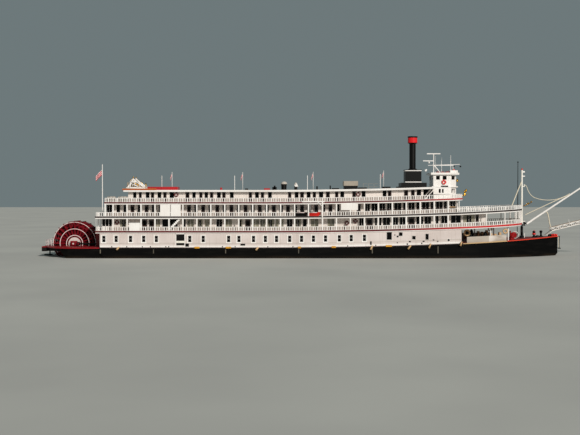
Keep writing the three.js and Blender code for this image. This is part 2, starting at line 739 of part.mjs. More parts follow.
const RAILS = [
  // name, plan outline, floor, ceiling, X range under the deck above, pitch of the posts
  ["cabin_rail", gallery, CABIN_DECK_Z, TEXAS_DECK_Z - SLAB, [GALLERY_AFT_X, GALLERY_FORWARD_X], BAY],
  ["texas_rail", gallery, TEXAS_DECK_Z, SUN_DECK_Z - SLAB, [SUN_DECK_AFT_X, SUN_DECK_CURVE_X], BAY],
  ["sun_rail", sunDeckOutline, SUN_DECK_Z, null, [], 2 * BAY],
];
const LAUNCH_GAP = [POST_AT + 1, POST_AT + 2 * BAY - 1]; // where the boats go over the side
for (const [name, outline, floor, ceiling, cover, pitch] of RAILS) {
  for (const [word, side] of SIDES) {
    const rail = { outline, side, floor, ceiling, cover, pitch };
    if (name === "texas_rail" && side < 0) {
      node(`${name}_${word}_aft`, railing({ ...rail, to: LAUNCH_GAP[0] }), WHITE_PAINT);
      node(`${name}_${word}_forward`, railing({ ...rail, from: LAUNCH_GAP[1] }), WHITE_PAINT);
    } else {
      node(`${name}_${word}`, railing(rail), WHITE_PAINT);
    }
  }
}

// Roof over the sun-deck house, with its poles
const ROOF_AFT_X = -2722;
const ROOF_FORWARD_X = 2378;
const ROOF_HALF = 700;
const roofTop = (x) => ROOF_Z + sheer(x);
const POLES = [
  // x, y, height, radius
  [-2181, 0, 250, 5],
  [-942, 0, 250, 5],
  [297, 0, 250, 5],
  [1537, 0, 250, 5],
];
const PLANT_BOX = { aft: 920, forward: 1140, half: 130, height: 85 };
const COWL = { x: 100, y: -220, height: 70 };
const cowlTop = roofTop(COWL.x) + COWL.height;
node(
  "roof",
  join(
    beam(ROOF_AFT_X, ROOF_FORWARD_X, -ROOF_HALF, ROOF_HALF, ROOF_Z - SLAB, ROOF_Z),
    POLES.map(([x, y, h, r]) => bar([x, y, roofTop(x) - 10], [x, y, roofTop(x) + h], r, 8)),
    box(
      PLANT_BOX.aft,
      PLANT_BOX.forward,
      -PLANT_BOX.half,
      PLANT_BOX.half,
      roofTop(PLANT_BOX.aft) - 10,
      roofTop(PLANT_BOX.aft) + PLANT_BOX.height,
    ),
    bar([COWL.x, COWL.y, cowlTop - COWL.height - 10], [COWL.x, COWL.y, cowlTop + 4], 22, 12),
    bar([COWL.x - 18, COWL.y, cowlTop - 4], [COWL.x + 26, COWL.y, cowlTop + 18], 28, 12, 34),
  ),
  WHITE_PAINT,
);

// Pilothouse: a lower room on the sun deck and the glazed wheelhouse above it
const PILOT = { aft: 2406, forward: 2804, half: 250, chamfer: 110, split: 190, top: 400 };
const pilotFloor = SUN_DECK_Z + sheer(PILOT.forward);

function pilotPlan(grow = 0) {
  const [aft, forward, half] = [PILOT.aft - grow, PILOT.forward + grow, PILOT.half + grow];
  const bevel = PILOT.chamfer;
  return [
    [aft, -half],
    [forward - bevel, -half],
    [forward, -half + bevel],
    [forward, half - bevel],
    [forward - bevel, half],
    [aft, half],
  ];
}

// A wall that runs round a plan, with a window between each two of its posts.
// doorStretch numbers the side whose middle window is a doorway instead.
const CORNER_POST = 26;
const MULLION = 12;
function windowWall(plan, thickness, rows, windowPitch, windowRow, doorStretch = -1) {
  const corners = plan.length;
  const spots = []; // where each column starts: its stretch, the distance along it, and whether it is open
  plan.forEach((from, i) => {
    const to = plan[(i + 1) % corners];
    const length = Math.hypot(to[0] - from[0], to[1] - from[1]);
    const count = Math.max(1, Math.round(length / windowPitch));
    const pane = (length - 2 * CORNER_POST - (count - 1) * MULLION) / count;
    spots.push({ i, t: 0, length, open: false });
    for (let k = 0; k < count; k++) {
      const start = CORNER_POST + k * (pane + MULLION);
      const door = i === doorStretch && k === Math.floor(count / 2);
      spots.push({ i, t: start, length, open: true, door }, { i, t: start + pane, length, open: false });
    }
  });
  const centre = plan.reduce(([x, y], p) => [x + p[0] / corners, y + p[1] / corners], [0, 0]);
  const inward = (p, q) => {
    const n = [p[1] - q[1], q[0] - p[0]];
    const towards = Math.sign((centre[0] - p[0]) * n[0] + (centre[1] - p[1]) * n[1]);
    return n.map((v) => (v * towards) / Math.hypot(...n));
  };
  const innerCorner = (i) => {
    const [before, here, after] = [plan[(i + corners - 1) % corners], plan[i], plan[(i + 1) % corners]];
    const [a, b] = [inward(before, here), inward(here, after)];
    const reach = thickness / (1 + a[0] * b[0] + a[1] * b[1]);
    return [here[0] + (a[0] + b[0]) * reach, here[1] + (a[1] + b[1]) * reach];
  };
  const place = (column, height, face) => {
    const { i, t, length } = spots[column % spots.length];
    const [p, q] = [plan[i], plan[(i + 1) % corners]];
    const [ux, uy] = [(q[0] - p[0]) / length, (q[1] - p[1]) / length];
    if (face) return [p[0] + ux * t, p[1] + uy * t, height];
    if (t === 0) return [...innerCorner(i), height];
    const n = inward(p, q);
    return [p[0] + ux * t + n[0] * thickness, p[1] + uy * t + n[1] * thickness, height];
  };
  const filled = (column, j) => {
    const { open, door } = spots[column];
    return door ? j === 0 || j === rows.length - 2 : !(open && j === windowRow);
  };
  const columns = [...spots.keys(), spots.length];
  const doorColumn = spots.findIndex((spot) => spot.door);
  return { geometry: grille(columns, rows, filled, place, true), place, doorColumn };
}

const pilotSplit = pilotFloor + PILOT.split;
const pilotTop = pilotFloor + PILOT.top;
const lowerRows = [SUN_DECK_Z + 40, pilotFloor + 96, pilotFloor + 160, pilotSplit - GAP];
const lowerRoom = windowWall(pilotPlan(), WALL, lowerRows, 130, 1);
// The foot of the lower room follows the sloping deck
const deckUnder = deckPlate(
  sunDeckOutline.map(([x, w]) => [x, w + 20]),
  SUN_DECK_Z + GAP,
  400,
);
const FLOOR_PLATE = 16;
const platePlan = (plan, z, thickness) => {
  const shape = new THREE.Shape(plan.map(([x, y]) => new THREE.Vector2(x, y)));
  return new THREE.ExtrudeGeometry(shape, { depth: thickness, bevelEnabled: false }).translate(0, 0, z);
};
node(
  "pilothouse_lower_room",
  join(cut(lowerRoom.geometry, deckUnder), platePlan(pilotPlan(26), pilotSplit - 2, FLOOR_PLATE + 2)),
  WHITE_PAINT,
);

const upperFoot = pilotSplit + FLOOR_PLATE + GAP;
const upperRows = [upperFoot, upperFoot + 14, upperFoot + 110, pilotTop - 20, pilotTop];
const DOOR_STRETCH = 5;
const upperRoom = windowWall(pilotPlan(), WALL, upperRows, 130, 2, DOOR_STRETCH);
node("pilothouse_walls", upperRoom.geometry, WHITE_PAINT);
const doorAt = upperRoom.place(upperRoom.doorColumn, 0, 1);
const doorTo = upperRoom.place(upperRoom.doorColumn + 1, 0, 1);
const doorY0 = Math.min(doorAt[1], doorTo[1]) + HINGE_SEAM;
const doorY1 = Math.max(doorAt[1], doorTo[1]) - DOOR_SEAM;
node(
  "pilothouse_door",
  box(PILOT.aft, PILOT.aft + 14, doorY0, doorY1, upperRows[1] + DOOR_SEAM, upperRows[3] - DOOR_SEAM),
  VARNISH,
);

// The pilothouse roof carries the radar mast and its yards
const PILOT_ROOF = 34;
const roofPlateTop = pilotTop + GAP + PILOT_ROOF;
const MAST = { x: 2444, top: 1943, scanner: 1938, yard: 1817, spreader: 1741, spreaderReach: 330 };
node(
  "pilothouse_roof",
  join(
    platePlan(pilotPlan(46), pilotTop + GAP, PILOT_ROOF),
    bar([MAST.x, 0, roofPlateTop - 5], [MAST.x, 0, MAST.top], 9, 8),
    box(MAST.x - 115, MAST.x + 115, -9, 9, MAST.scanner - 8, MAST.scanner + 8),
    box(MAST.x - 180, MAST.x + 4, -7, 7, MAST.yard - 7, MAST.yard + 7),
    box(MAST.x - 5, MAST.x + MAST.spreaderReach + 8, -5, 5, MAST.spreader - 5, MAST.spreader + 5),
    bar(
      [MAST.x + MAST.spreaderReach, 0, roofPlateTop - 5],
      [MAST.x + MAST.spreaderReach, 0, MAST.spreader],
      6,
      8,
    ),
  ),
  WHITE_PAINT,
);

// Glass: one clear band inside the window openings
function glassBand() {
  const inset = WALL + GAP;
  const outer = pilotPlan(-inset);
  const inner = pilotPlan(-inset - 4);
  const band = platePlan(outer, upperRows[2] - 6, upperRows[3] - upperRows[2] + 12);
  const hollow = platePlan(inner, upperRows[2] - 20, 200);
  const doorway = box(PILOT.aft, PILOT.aft + 60, doorY0 - 12, doorY1 + 12, pilotSplit, pilotTop + 20);
  return cut(band, hollow, doorway);
}
node("pilothouse_glass", glassBand(), GLASS);

// Funnel and its casing on the roof
const FUNNEL_X = 2085;
const funnelBase = roofTop(FUNNEL_X);
const CASING = { half: 135, height: 305, footHalf: 214, footHeight: 85 };
node(
  "funnel_casing",
  cut(
    join(
      box(
        FUNNEL_X - CASING.footHalf,
        FUNNEL_X + CASING.footHalf,
        -CASING.footHalf,
        CASING.footHalf,
        funnelBase - 20,
        funnelBase + CASING.footHeight,
      ),
      box(
        FUNNEL_X - CASING.half,
        FUNNEL_X + CASING.half,
        -CASING.half,
        CASING.half,
        funnelBase,
        funnelBase + CASING.height,
      ),
    ),
    beam(1700, 2500, -400, 400, ROOF_Z - 100, ROOF_Z + GAP),
  ),
  STEEL_BLACK,
);
const STACK_HEIGHT = 570;
node(
  "funnel",
  turned(
    [
      [0, 0],
      [66, 0],
      [66, 18],
      [54.5, 26],
      [54.5, 440],
      [80, 462],
      [80, 545],
      [84, 548],
      [84, STACK_HEIGHT],
      [70, STACK_HEIGHT],
      [70, STACK_HEIGHT - 60],
      [0, STACK_HEIGHT - 60],
    ],
    FUNNEL_X,
    0,
    funnelBase + CASING.height + GAP,
    20,
  ),
  STEEL_BLACK,
);

// Steam calliope near the aft end of the roof: whistles between two gables that peak towards the stern
const CALLIOPE = { aft: -2700, forward: -2390, peak: -2581, y: -400, half: 150, base: 36, height: 205 };
const WHISTLES = 7;
function gable(y) {
  const { aft, forward, peak, height } = CALLIOPE;
  const corners = [
    [aft + 6, 30],
    [forward - 6, 30],
    [peak, height],
  ];
  const centre = [0, 1].map((k) => (corners[0][k] + corners[1][k] + corners[2][k]) / 3);
  const outline = corners.map(([x, z]) => new THREE.Vector2(x, z));
  const opening = outline.map((p) => p.clone().sub(new THREE.Vector2(...centre)));
  const shape = new THREE.Shape(outline);
  shape.holes.push(new THREE.Path(opening.map((p) => p.multiplyScalar(0.66).add(new THREE.Vector2(...centre)))));
  const plate = new THREE.ExtrudeGeometry(shape, { depth: 14, bevelEnabled: false });
  return plate.rotateX(Math.PI / 2).translate(0, y, ROOF_Z);
}
const whistle = (i) => {
  const { aft, forward, y, peak } = CALLIOPE;
  const x = aft + 45 + ((forward - aft - 90) * i) / (WHISTLES - 1);
  const top = ROOF_Z + 132 - 0.42 * Math.abs(x - peak);
  return bar([x, y, ROOF_Z + 20], [x, y, top], 11, 8);
};
node(
  "calliope",
  join(
    box(
      CALLIOPE.aft,
      CALLIOPE.forward,
      CALLIOPE.y - CALLIOPE.half,
      CALLIOPE.y + CALLIOPE.half,
      ROOF_Z + GAP,
      ROOF_Z + CALLIOPE.base,
    ),
    gable(CALLIOPE.y - CALLIOPE.half + 16),
    gable(CALLIOPE.y + CALLIOPE.half - 2),
    Array.from({ length: WHISTLES }, (_, i) => whistle(i)),
  ),
  WHITE_PAINT,
);

// Foredeck: kingpost, jackstaff, capstans, hose reel and the bower anchor
const KING_X = 3949;
const KING_FOOT = 40;
const kingFoot = footOnMainDeck(KING_X + KING_FOOT);
const JACK_X = GALLERY_FORWARD_X - 26;
const deckAt = (x) => MAIN_DECK_Z + sheer(x);
const GOOSENECK_Z = 754;
const SWIVEL_X = KING_X + 40;
const HEEL_REACH = 54;
const FORK_Z = [GOOSENECK_Z - 34, GOOSENECK_Z + 34];
const LINE_PIN_Z = 1404;
node(
  "kingpost",
  join(
    bar([KING_X, 0, kingFoot], [KING_X, 0, 1666], 17, 12, 14),
    bar([KING_X, 0, kingFoot], [KING_X, 0, kingFoot + 36], KING_FOOT, 12),
    ...FORK_Z.map((z) => box(KING_X, SWIVEL_X + 16, -14, 14, z - 6, z + 6)),
    box(KING_X, SWIVEL_X + 6, -6, 6, LINE_PIN_Z - 26, LINE_PIN_Z - 14),
    bar([SWIVEL_X, 0, LINE_PIN_Z - 16], [SWIVEL_X, 0, LINE_PIN_Z + 14], 8, 12),
  ),
  WHITE_PAINT,
);
node(
  "jackstaff",
  join(
    bar([JACK_X, 0, TEXAS_DECK_Z + sheer(JACK_X + 10) + GAP], [JACK_X, 0, 1786], 7, 8, 5),
    turned([[0, -14], [8, -10], [12, 0], [8, 10], [0, 14]], JACK_X, 0, 1796, 10),
  ),
  BRASS,
);
node(
  "boom_gooseneck",
  join(
    bar([SWIVEL_X, 0, FORK_Z[0] + 6.5], [SWIVEL_X, 0, FORK_Z[1] - 6.5], 13, 16),
    box(SWIVEL_X, SWIVEL_X + HEEL_REACH + 12, -8, 8, GOOSENECK_Z - 14, GOOSENECK_Z + 14),
  ),
  STEEL_BLACK,
);

// Boom and landing stage, which lie over the bow on the centreline
const HEEL_X = SWIVEL_X + HEEL_REACH;
const TIP_X = 5118;
const TIP_Z = 1470;
const boomAngle = Math.atan2(TIP_Z - GOOSENECK_Z, TIP_X - HEEL_X);
const boomLength = Math.hypot(TIP_Z - GOOSENECK_Z, TIP_X - HEEL_X);
const BOOM_RADIUS = 17;
const HANG = 30; // the stage hangs this far below the boom's end
const cheeks = (from, to, inner, outer, low) => [
  box(from, to, inner, outer, low, 14),
  box(from, to, -outer, -inner, low, 14),
];
const boomParts = [
  bar([70, 0, 0], [boomLength - 60, 0, 0], BOOM_RADIUS, 12, 14),
  ...cheeks(-14, 86, 8.5, 17, -14),
  box(40, 86, -17, 17, -14, 14),
  ...cheeks(boomLength - 76, boomLength + 14, 13, 20, -HANG - 14),
  box(boomLength - 76, boomLength - 34, -20, 20, -14, 14),
].map((piece) => piece.rotateY(-boomAngle).translate(HEEL_X, 0, GOOSENECK_Z));
node("boom", join(boomParts), WHITE_PAINT);
const hangPoint = (y) => [
  TIP_X + HANG * Math.sin(boomAngle),
  y,
  TIP_Z - HANG * Math.cos(boomAngle),
];

const STAGE = { length: 1370, half: 80, depth: 62, angle: (13.9 * Math.PI) / 180, x: 4446, z: 625 };
const STAGE_BAYS = 12;
function stageTruss(y) {
  const pitch = STAGE.length / STAGE_BAYS;
  const columns = [];
  for (let i = 0; i <= STAGE_BAYS; i++) {
    columns.push(Math.max(0, i * pitch - 4), Math.min(STAGE.length, i * pitch + 4));
  }
  const rows = [0, 12, STAGE.depth - 10, STAGE.depth];
  return grille(
    columns,
    rows,
    (i, j) => i % 2 === 0 || j !== 1,
    (s, r, side) => [s, y + (side - 0.5) * 10, r],
  );
}
const stageToWorld = (piece) => piece.rotateY(-STAGE.angle).translate(STAGE.x, 0, STAGE.z);
const stagePoint = (along, y, up) => {
  const [c, s] = [Math.cos(STAGE.angle), Math.sin(STAGE.angle)];
  return [STAGE.x + along * c - up * s, y, STAGE.z + along * s + up * c];
};
const BRIDLE_ALONG = [560, 1040];
const stageLeg = (y) => {
  const foot = [4352, y, deckAt(4352) + 24];
  return bar(stagePoint(16, y, 6), foot, 5, 6);
};
const bridle = BRIDLE_ALONG.flatMap((along) =>
  [-1, 1].map((side) =>
    bar(stagePoint(along, side * (STAGE.half - 5), STAGE.depth - 6), hangPoint(0), 3.5, 6),
  ),
);
node(
  "landing_stage",
  join(
    stageToWorld(stageTruss(-STAGE.half + 5)),
    stageToWorld(stageTruss(STAGE.half - 5)),
    stageToWorld(box(0, STAGE.length, -STAGE.half + 2, STAGE.half - 2, 2, 10)),
    ...bridle,
    stageLeg(-STAGE.half + 8),
    stageLeg(STAGE.half - 8),
    bar(hangPoint(-12.5), hangPoint(12.5), 9, 12),
  ),
  WHITE_PAINT,
);

// The slack line from the kingpost down to the boom. It passes clear on the boom's starboard side.
const LINE_POINTS = [
  // x, y, z
  [SWIVEL_X + 8.6, 0, LINE_PIN_Z],
  [SWIVEL_X + 20, 0, LINE_PIN_Z - 1],
  [4028, 0, 1378],
  [4052, -2, 1316],
  [4092, -5, 1248],
  [4146, -10, 1200],
  [4230, -20, 1168],
  [4360, -28, 1150],
  [4500, -28, 1158],
  [4604, -28, 1186],
  [4697, -28, 1225],
  [4755, -28, 1260],
];
const lineCurve = new THREE.CatmullRomCurve3(LINE_POINTS.map((point) => new THREE.Vector3(...point)));
const lineSection = new THREE.Shape(
  Array.from({ length: 8 }, (_, i) => {
    const a = (i * Math.PI) / 4;
    return new THREE.Vector2(6 * Math.cos(a), 6 * Math.sin(a));
  }),
);
node(
  "slack_line",
  new THREE.ExtrudeGeometry(lineSection, { steps: 26, extrudePath: lineCurve, bevelEnabled: false }),
  ROPE_FIBRE,
);

// Two capstans on one bedplate
const CAPSTANS_X = [4157, 4276];
const CAPSTAN_PROFILE = [
  [0, 0],
  [28, 0],
  [28, 12],
  [16, 24],
  [16, 62],
  [25, 78],
  [25, 96],
  [12, 106],
  [0, 106],
];
const bedplate = beam(CAPSTANS_X[0] - 36, CAPSTANS_X[1] + 34, -40, 40, MAIN_DECK_Z + GAP, MAIN_DECK_Z + 10);
node(
  "capstans",
  join(bedplate, CAPSTANS_X.map((x) => turned(CAPSTAN_PROFILE, x, 0, deckAt(x) + 4, 14))),
  ORANGE_RED,
);
const REEL_X = 3690;
node(
  "hose_reel",
  join(
    bar([REEL_X, -430, deckAt(REEL_X) + 46], [REEL_X, -390, deckAt(REEL_X) + 46], 40, 16),
    box(REEL_X - 30, REEL_X + 30, -440, -380, footOnMainDeck(REEL_X + 30), deckAt(REEL_X) + 14),
  ),
  ORANGE_RED,
);
const STOCK_X = STEM_X + 32;
node(
  "bower_anchor",
  join(
    bar([STOCK_X, 0, 330], [STOCK_X, 0, 538], 7, 8),
    box(STOCK_X - 9, STOCK_X + 9, -62, 62, 322, 340),
    box(STEM_X + 6.4, STOCK_X + 8, -12, 12, 531, 541),
  ),
  STEEL_BLACK,
);

// Boats on the texas deck, starboard side, in the gap of its rail
const BOATS = [
  // name, aft x, forward x, material
  ["workboat", 86, 294, STEEL_BLACK],
  ["rescue_boat", 302, 500, ORANGE_RED],
];
for (const [name, aft, forward, material] of BOATS) {
  const length = forward - aft;
  const foot = TEXAS_DECK_Z + sheer(aft + 0.7 * length) + GAP;
  const rings = [
    // share of length, half-width, keel height
    [0, 40, 14],
    [0.35, 62, 0],
    [0.7, 54, 0],
    [1, 10, 34],
  ].map(([t, half, keel]) => {
    const x = aft + t * length;
    const mid = -800;
    return [
      [x, mid - half * 0.5, foot + keel],
      [x, mid + half * 0.5, foot + keel],
      [x, mid + half, foot + 58 + t * 14],
      [x, mid - half, foot + 58 + t * 14],
    ];
  });
  node(name, loft(rings), material);
}

export default steamer;
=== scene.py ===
# %% [markdown]
# # Dressing a sternwheel paddle steamer
# The boat is a 1:10 model, 8.7 m long, and its decks, walls, wheel and posts come ready as fixed pieces.
# What is left is what makes it look real from the bank: windows, rails, stripes, ropes, paint and weather.
# Everything is in metres. +X is the bow, +Y is port, and the flat bottom of the hull is at z = 0.

# %% Load the boat
import json
import math

import bmesh
import bpy
from mathutils import Matrix, Vector


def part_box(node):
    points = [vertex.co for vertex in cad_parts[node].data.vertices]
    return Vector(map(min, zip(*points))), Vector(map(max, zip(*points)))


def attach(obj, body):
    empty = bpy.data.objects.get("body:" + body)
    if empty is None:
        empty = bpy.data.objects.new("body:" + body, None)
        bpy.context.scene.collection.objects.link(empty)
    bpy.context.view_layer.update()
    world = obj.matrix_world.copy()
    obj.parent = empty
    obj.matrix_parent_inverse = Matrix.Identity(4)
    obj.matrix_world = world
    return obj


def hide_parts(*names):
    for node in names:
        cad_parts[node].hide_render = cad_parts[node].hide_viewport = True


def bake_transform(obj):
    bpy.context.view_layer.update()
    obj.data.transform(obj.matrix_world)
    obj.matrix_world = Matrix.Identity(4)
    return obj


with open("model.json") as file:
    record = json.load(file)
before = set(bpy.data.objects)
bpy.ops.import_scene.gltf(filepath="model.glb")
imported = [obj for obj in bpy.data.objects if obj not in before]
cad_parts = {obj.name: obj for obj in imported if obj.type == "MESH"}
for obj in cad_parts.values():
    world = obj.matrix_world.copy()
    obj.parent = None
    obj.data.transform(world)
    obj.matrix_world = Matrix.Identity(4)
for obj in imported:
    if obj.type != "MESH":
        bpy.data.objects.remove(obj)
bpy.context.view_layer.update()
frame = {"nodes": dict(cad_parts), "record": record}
print("pieces in the frame:", len(frame["nodes"]))

# %% [markdown]
# ## The camera
# The photograph was taken from the bank with a short telephoto lens, straight at the starboard side.
# The horizon lies a little above the middle of the picture, so the camera looks very slightly down.

# %% Camera
PICTURE_WIDTH = 580
FOCAL_PIXELS = 998.0
SENSOR = 36.0
WATERLINE = 0.210
EYE = Vector((0.0, -17.0, WATERLINE + 0.958))
LOOK_DOWN = math.radians(1.06)

lens = bpy.data.cameras.new("camera")
lens.sensor_width = SENSOR
lens.lens = SENSOR * FOCAL_PIXELS / PICTURE_WIDTH
camera = bpy.data.objects.new("camera", lens)
camera.location = EYE
camera.rotation_euler = (math.pi / 2 - LOOK_DOWN, 0, 0)
bpy.context.collection.objects.link(camera)
bpy.context.scene.camera = camera
print("lens", round(lens.lens, 1), "mm")

# %% [markdown]
# ## Small tools
# A material is a graph of nodes, and one helper is enough to add any of them with its settings and links.
# A piece is a bmesh that becomes a mesh, gets its paint and is tied to the body that it moves with.

# %% Helpers for colours, nodes and materials
def srgb(code):
    """A colour from its sRGB hex value, as the linear numbers that a shader wants."""
    levels = [int(code[i : i + 2], 16) / 255 for i in (1, 3, 5)]
    linear = [v / 12.92 if v <= 0.04045 else ((v + 0.055) / 1.055) ** 2.4 for v in levels]
    return (*linear, 1.0)


def add(tree, kind, inputs=(), **settings):
    """Add a node. An input's value is a number, a colour, or the output of another node."""
    node = tree.nodes.new(kind)
    for name, value in settings.items():
        setattr(node, name, value)
    for socket, value in dict(inputs).items():
        if isinstance(value, bpy.types.NodeSocket):
            tree.links.new(value, node.inputs[socket])
        else:
            node.inputs[socket].default_value = value
    return node


MIX_FACTOR, MIX_A, MIX_B, MIX_RESULT = 0, 6, 7, 2  # the colour sockets of a Mix node


def mixed(tree, factor, a, b, blend="MIX"):
    """Two colours mixed by a factor."""
    inputs = {MIX_FACTOR: factor, MIX_A: a, MIX_B: b}
    return add(tree, "ShaderNodeMix", inputs, data_type="RGBA", blend_type=blend).outputs[MIX_RESULT]


def start(name, roughness, metallic=0.0, **more):
    """A new material: its tree, its shader and the Object coordinates."""
    made = bpy.data.materials.new(name)
    made.use_nodes = True
    tree = made.node_tree
    shader = tree.nodes["Principled BSDF"]
    shader.inputs["Roughness"].default_value = roughness
    shader.inputs["Metallic"].default_value = metallic
    for socket, value in more.items():
        shader.inputs[socket.replace("_", " ")].default_value = value
    where = add(tree, "ShaderNodeTexCoord").outputs["Object"]
    return made, tree, shader, where


def noise(tree, where, size, stretch=(1, 1, 1), detail=3.0, low=0.35, high=0.65):
    """Noise whose blotches are about that size in metres, as a factor from 0 to 1."""
    scaled = add(tree, "ShaderNodeMapping", {"Vector": where, "Scale": [1 / s for s in stretch]})
    inputs = {"Vector": scaled.outputs[0], "Scale": 1 / size, "Detail": detail}
    texture = add(tree, "ShaderNodeTexNoise", inputs)
    limits = {"Value": texture.outputs["Fac"], "From Min": low, "From Max": high}
    return add(tree, "ShaderNodeMapRange", limits).outputs[0]


def emboss(tree, shader, height, distance, strength=0.4):
    """Bump from a factor, with its real depth in metres."""
    bump = add(tree, "ShaderNodeBump", {"Height": height, "Distance": distance, "Strength": strength})
    tree.links.new(bump.outputs[0], shader.inputs["Normal"])


print("mid grey is", round(srgb("#808080")[0], 3), "in linear light")

# %% Helpers for shapes
def block(bm, low, high):
    """A box between two corners."""
    low, high = Vector(low), Vector(high)
    size = Matrix.Diagonal((*(high - low), 1))
    return bmesh.ops.create_cube(bm, size=1, matrix=Matrix.Translation((low + high) / 2) @ size)["verts"]


def rod(bm, start, end, radius, end_radius=None, sides=10):
    """A round bar between two points."""
    start, end = Vector(start), Vector(end)
    turn = (end - start).to_track_quat("Z", "Y").to_matrix().to_4x4()
    return bmesh.ops.create_cone(
        bm,
        cap_ends=True,
        segments=sides,
        radius1=radius,
        radius2=radius if end_radius is None else end_radius,
        depth=(end - start).length,
        matrix=Matrix.Translation((start + end) / 2) @ turn,
    )["verts"]


print("a bar has 10 sides unless it says otherwise")

# %% Turned shapes and hoops
def spun(bm, profile, centre, axis=(0, 0, 1), steps=24, closed=False):
    """A turned shape from [radius, height] points, standing on its centre along the axis."""
    verts = [bm.verts.new((r, 0, h)) for r, h in profile]
    pairs = list(zip(verts, verts[1:])) + ([(verts[-1], verts[0])] if closed else [])
    edges = [bm.edges.new(pair) for pair in pairs]
    before = set(bm.verts) - set(verts)
    bmesh.ops.spin(
        bm,
        geom=verts + edges,
        axis=(0, 0, 1),
        cent=(0, 0, 0),
        angle=math.tau,
        steps=steps,
        use_merge=True,
    )
    new = [v for v in bm.verts if v not in before]
    bmesh.ops.remove_doubles(bm, verts=new, dist=1e-6)
    new = [v for v in bm.verts if v not in before]
    turn = Vector(axis).to_track_quat("Z", "Y").to_matrix().to_4x4()
    bmesh.ops.transform(bm, matrix=Matrix.Translation(centre) @ turn, verts=new)
    bmesh.ops.recalc_face_normals(bm, faces=list({f for v in new for f in v.link_faces}))
    return new


def ring(bm, centre, radius, thick, axis=(0, 1, 0), steps=24, sides=8):
    """A round hoop: a circle spun about an axis."""
    angles = [math.tau * i / sides for i in range(sides)]
    circle = [(radius + thick * math.cos(a), thick * math.sin(a)) for a in angles]
    return spun(bm, circle, centre, axis, steps, closed=True)


print("a turned shape has 24 steps unless it says otherwise")

# %% From a shape to a piece of the boat
def piece(name, bm, material, body="root", smooth=False):
    """Turn a finished bmesh into a piece of the boat that moves with a body."""
    mesh = bpy.data.meshes.new(name)
    for face in bm.faces:
        face.smooth = smooth
    bm.to_mesh(mesh)
    bm.free()
    mesh.materials.append(material)
    obj = bpy.data.objects.new(name, mesh)
    bpy.context.collection.objects.link(obj)
    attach(obj, body)
    print(name, len(mesh.polygons), "faces")
    return obj


# %% [markdown]
# ## Where things are
# Every deck rises toward the bow in straight runs between stations, as the plates of a real hull do, so
# anything that stands on a deck is lifted by the sheer at its own X. The walls' and decks' places come
# from the frame's boxes.

# %% Decks, walls and sheer
MM = 0.001
STATION, SHEER_RATE = 0.46, 0.00625
STATIONS = [STATION * k for k in range(-9, 11)]


def sheer(x):
    """How far a deck has risen at x."""
    along = max(0.0, x / STATION + 1)
    low = math.floor(along)
    rise, next_rise = (SHEER_RATE * (k * STATION) ** 2 for k in (low, low + 1))
    return rise + (next_rise - rise) * (along - low)


def wall_of(tier):
    """The outer face of a tier's side wall and the level of its floor."""
    return -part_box(f"{tier}_house_starboard_wall")[0].y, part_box(f"{tier}_house_aft_wall")[0].z


HALF_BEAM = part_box("cabin_deck")[1].y
(MAIN_WALL, MAIN), (CABIN_WALL, CABIN), (TEXAS_WALL, TEXAS), (SUN_WALL, SUN) = (
    wall_of(tier) for tier in ("main", "cabin", "texas", "sun")
)
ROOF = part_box("calliope")[0].z
SLAB = 0.030
RAIL = 0.076
BAY, POST_AT = 0.2255, 0.074
SIDES = {"starboard": -1, "port": 1}
print("floors at", [round(z, 3) for z in (MAIN, CABIN, TEXAS, SUN, ROOF)])

# %% [markdown]
# ## Paint
# Nearly all of the boat is alkyd enamel brushed on steel: a smooth skin that goes chalky in the sun.
# Rain carries soot down it in faint vertical streaks, so the noise is stretched along Z. At this size a
# real brush mark is far too fine to see, so the blotches and streaks are drawn a little coarser.

# %% White enamel
def enamel(name, fresh, chalky, streak, roughness=0.42):
    """Brushed enamel with broad chalky patches and thin rain streaks."""
    made, tree, shader, where = start(name, roughness, Coat_Weight=0.15, Coat_Roughness=0.3)
    patches = noise(tree, where, 0.35, detail=4.0)
    streaks = noise(tree, where, 0.02, stretch=(1, 1, 14), detail=2.0, low=0.56, high=0.8)
    colour = mixed(tree, patches, srgb(fresh), srgb(chalky))
    half = add(tree, "ShaderNodeMath", {0: streaks, 1: 0.5}, operation="MULTIPLY").outputs[0]
    tree.links.new(mixed(tree, half, colour, srgb(streak)), shader.inputs["Base Color"])
    emboss(tree, shader, noise(tree, where, 0.012, detail=5.0), 0.0006)
    return made


white = enamel("white_enamel_brushed", "#f7f4f1", "#ece6e1", "#cdc2b8")
wall_white = enamel("cream_enamel_on_plate", "#ded3cf", "#d1c4bf", "#b5a499")
orange = enamel("orange_red_gloss", "#e02015", "#c81d14", "#8e1d16", 0.3)
deck_red = enamel("deck_red_matt", "#93161c", "#7c1217", "#4c0c0e", 0.6)
# The texas deck's dark brown edge line is a painted shadow: the gap under its rail.
painted_shadow_brown = enamel("painted_shadow_under_texas_rail", "#220a09", "#190807", "#100504", 0.6)
yellow = enamel("yellow_marking_paint", "#e0a012", "#c98a10", "#7d5a10", 0.5)
tan = enamel("weathered_fender_timber", "#dcb88a", "#c9a273", "#8a6844", 0.75)
rail_grey = enamel("balustrade_enamel", "#cdc5bc", "#b5aca2", "#90867a", 0.5)
# The gallery life rings wear this darkened red as painted shade; the pilothouse ring wears the orange-red.
ring_red_painted_shade = enamel("life_ring_red_darkened_as_shade", "#6a1216", "#541014", "#2f0a0c", 0.7)
print("enamels:", len(bpy.data.materials))
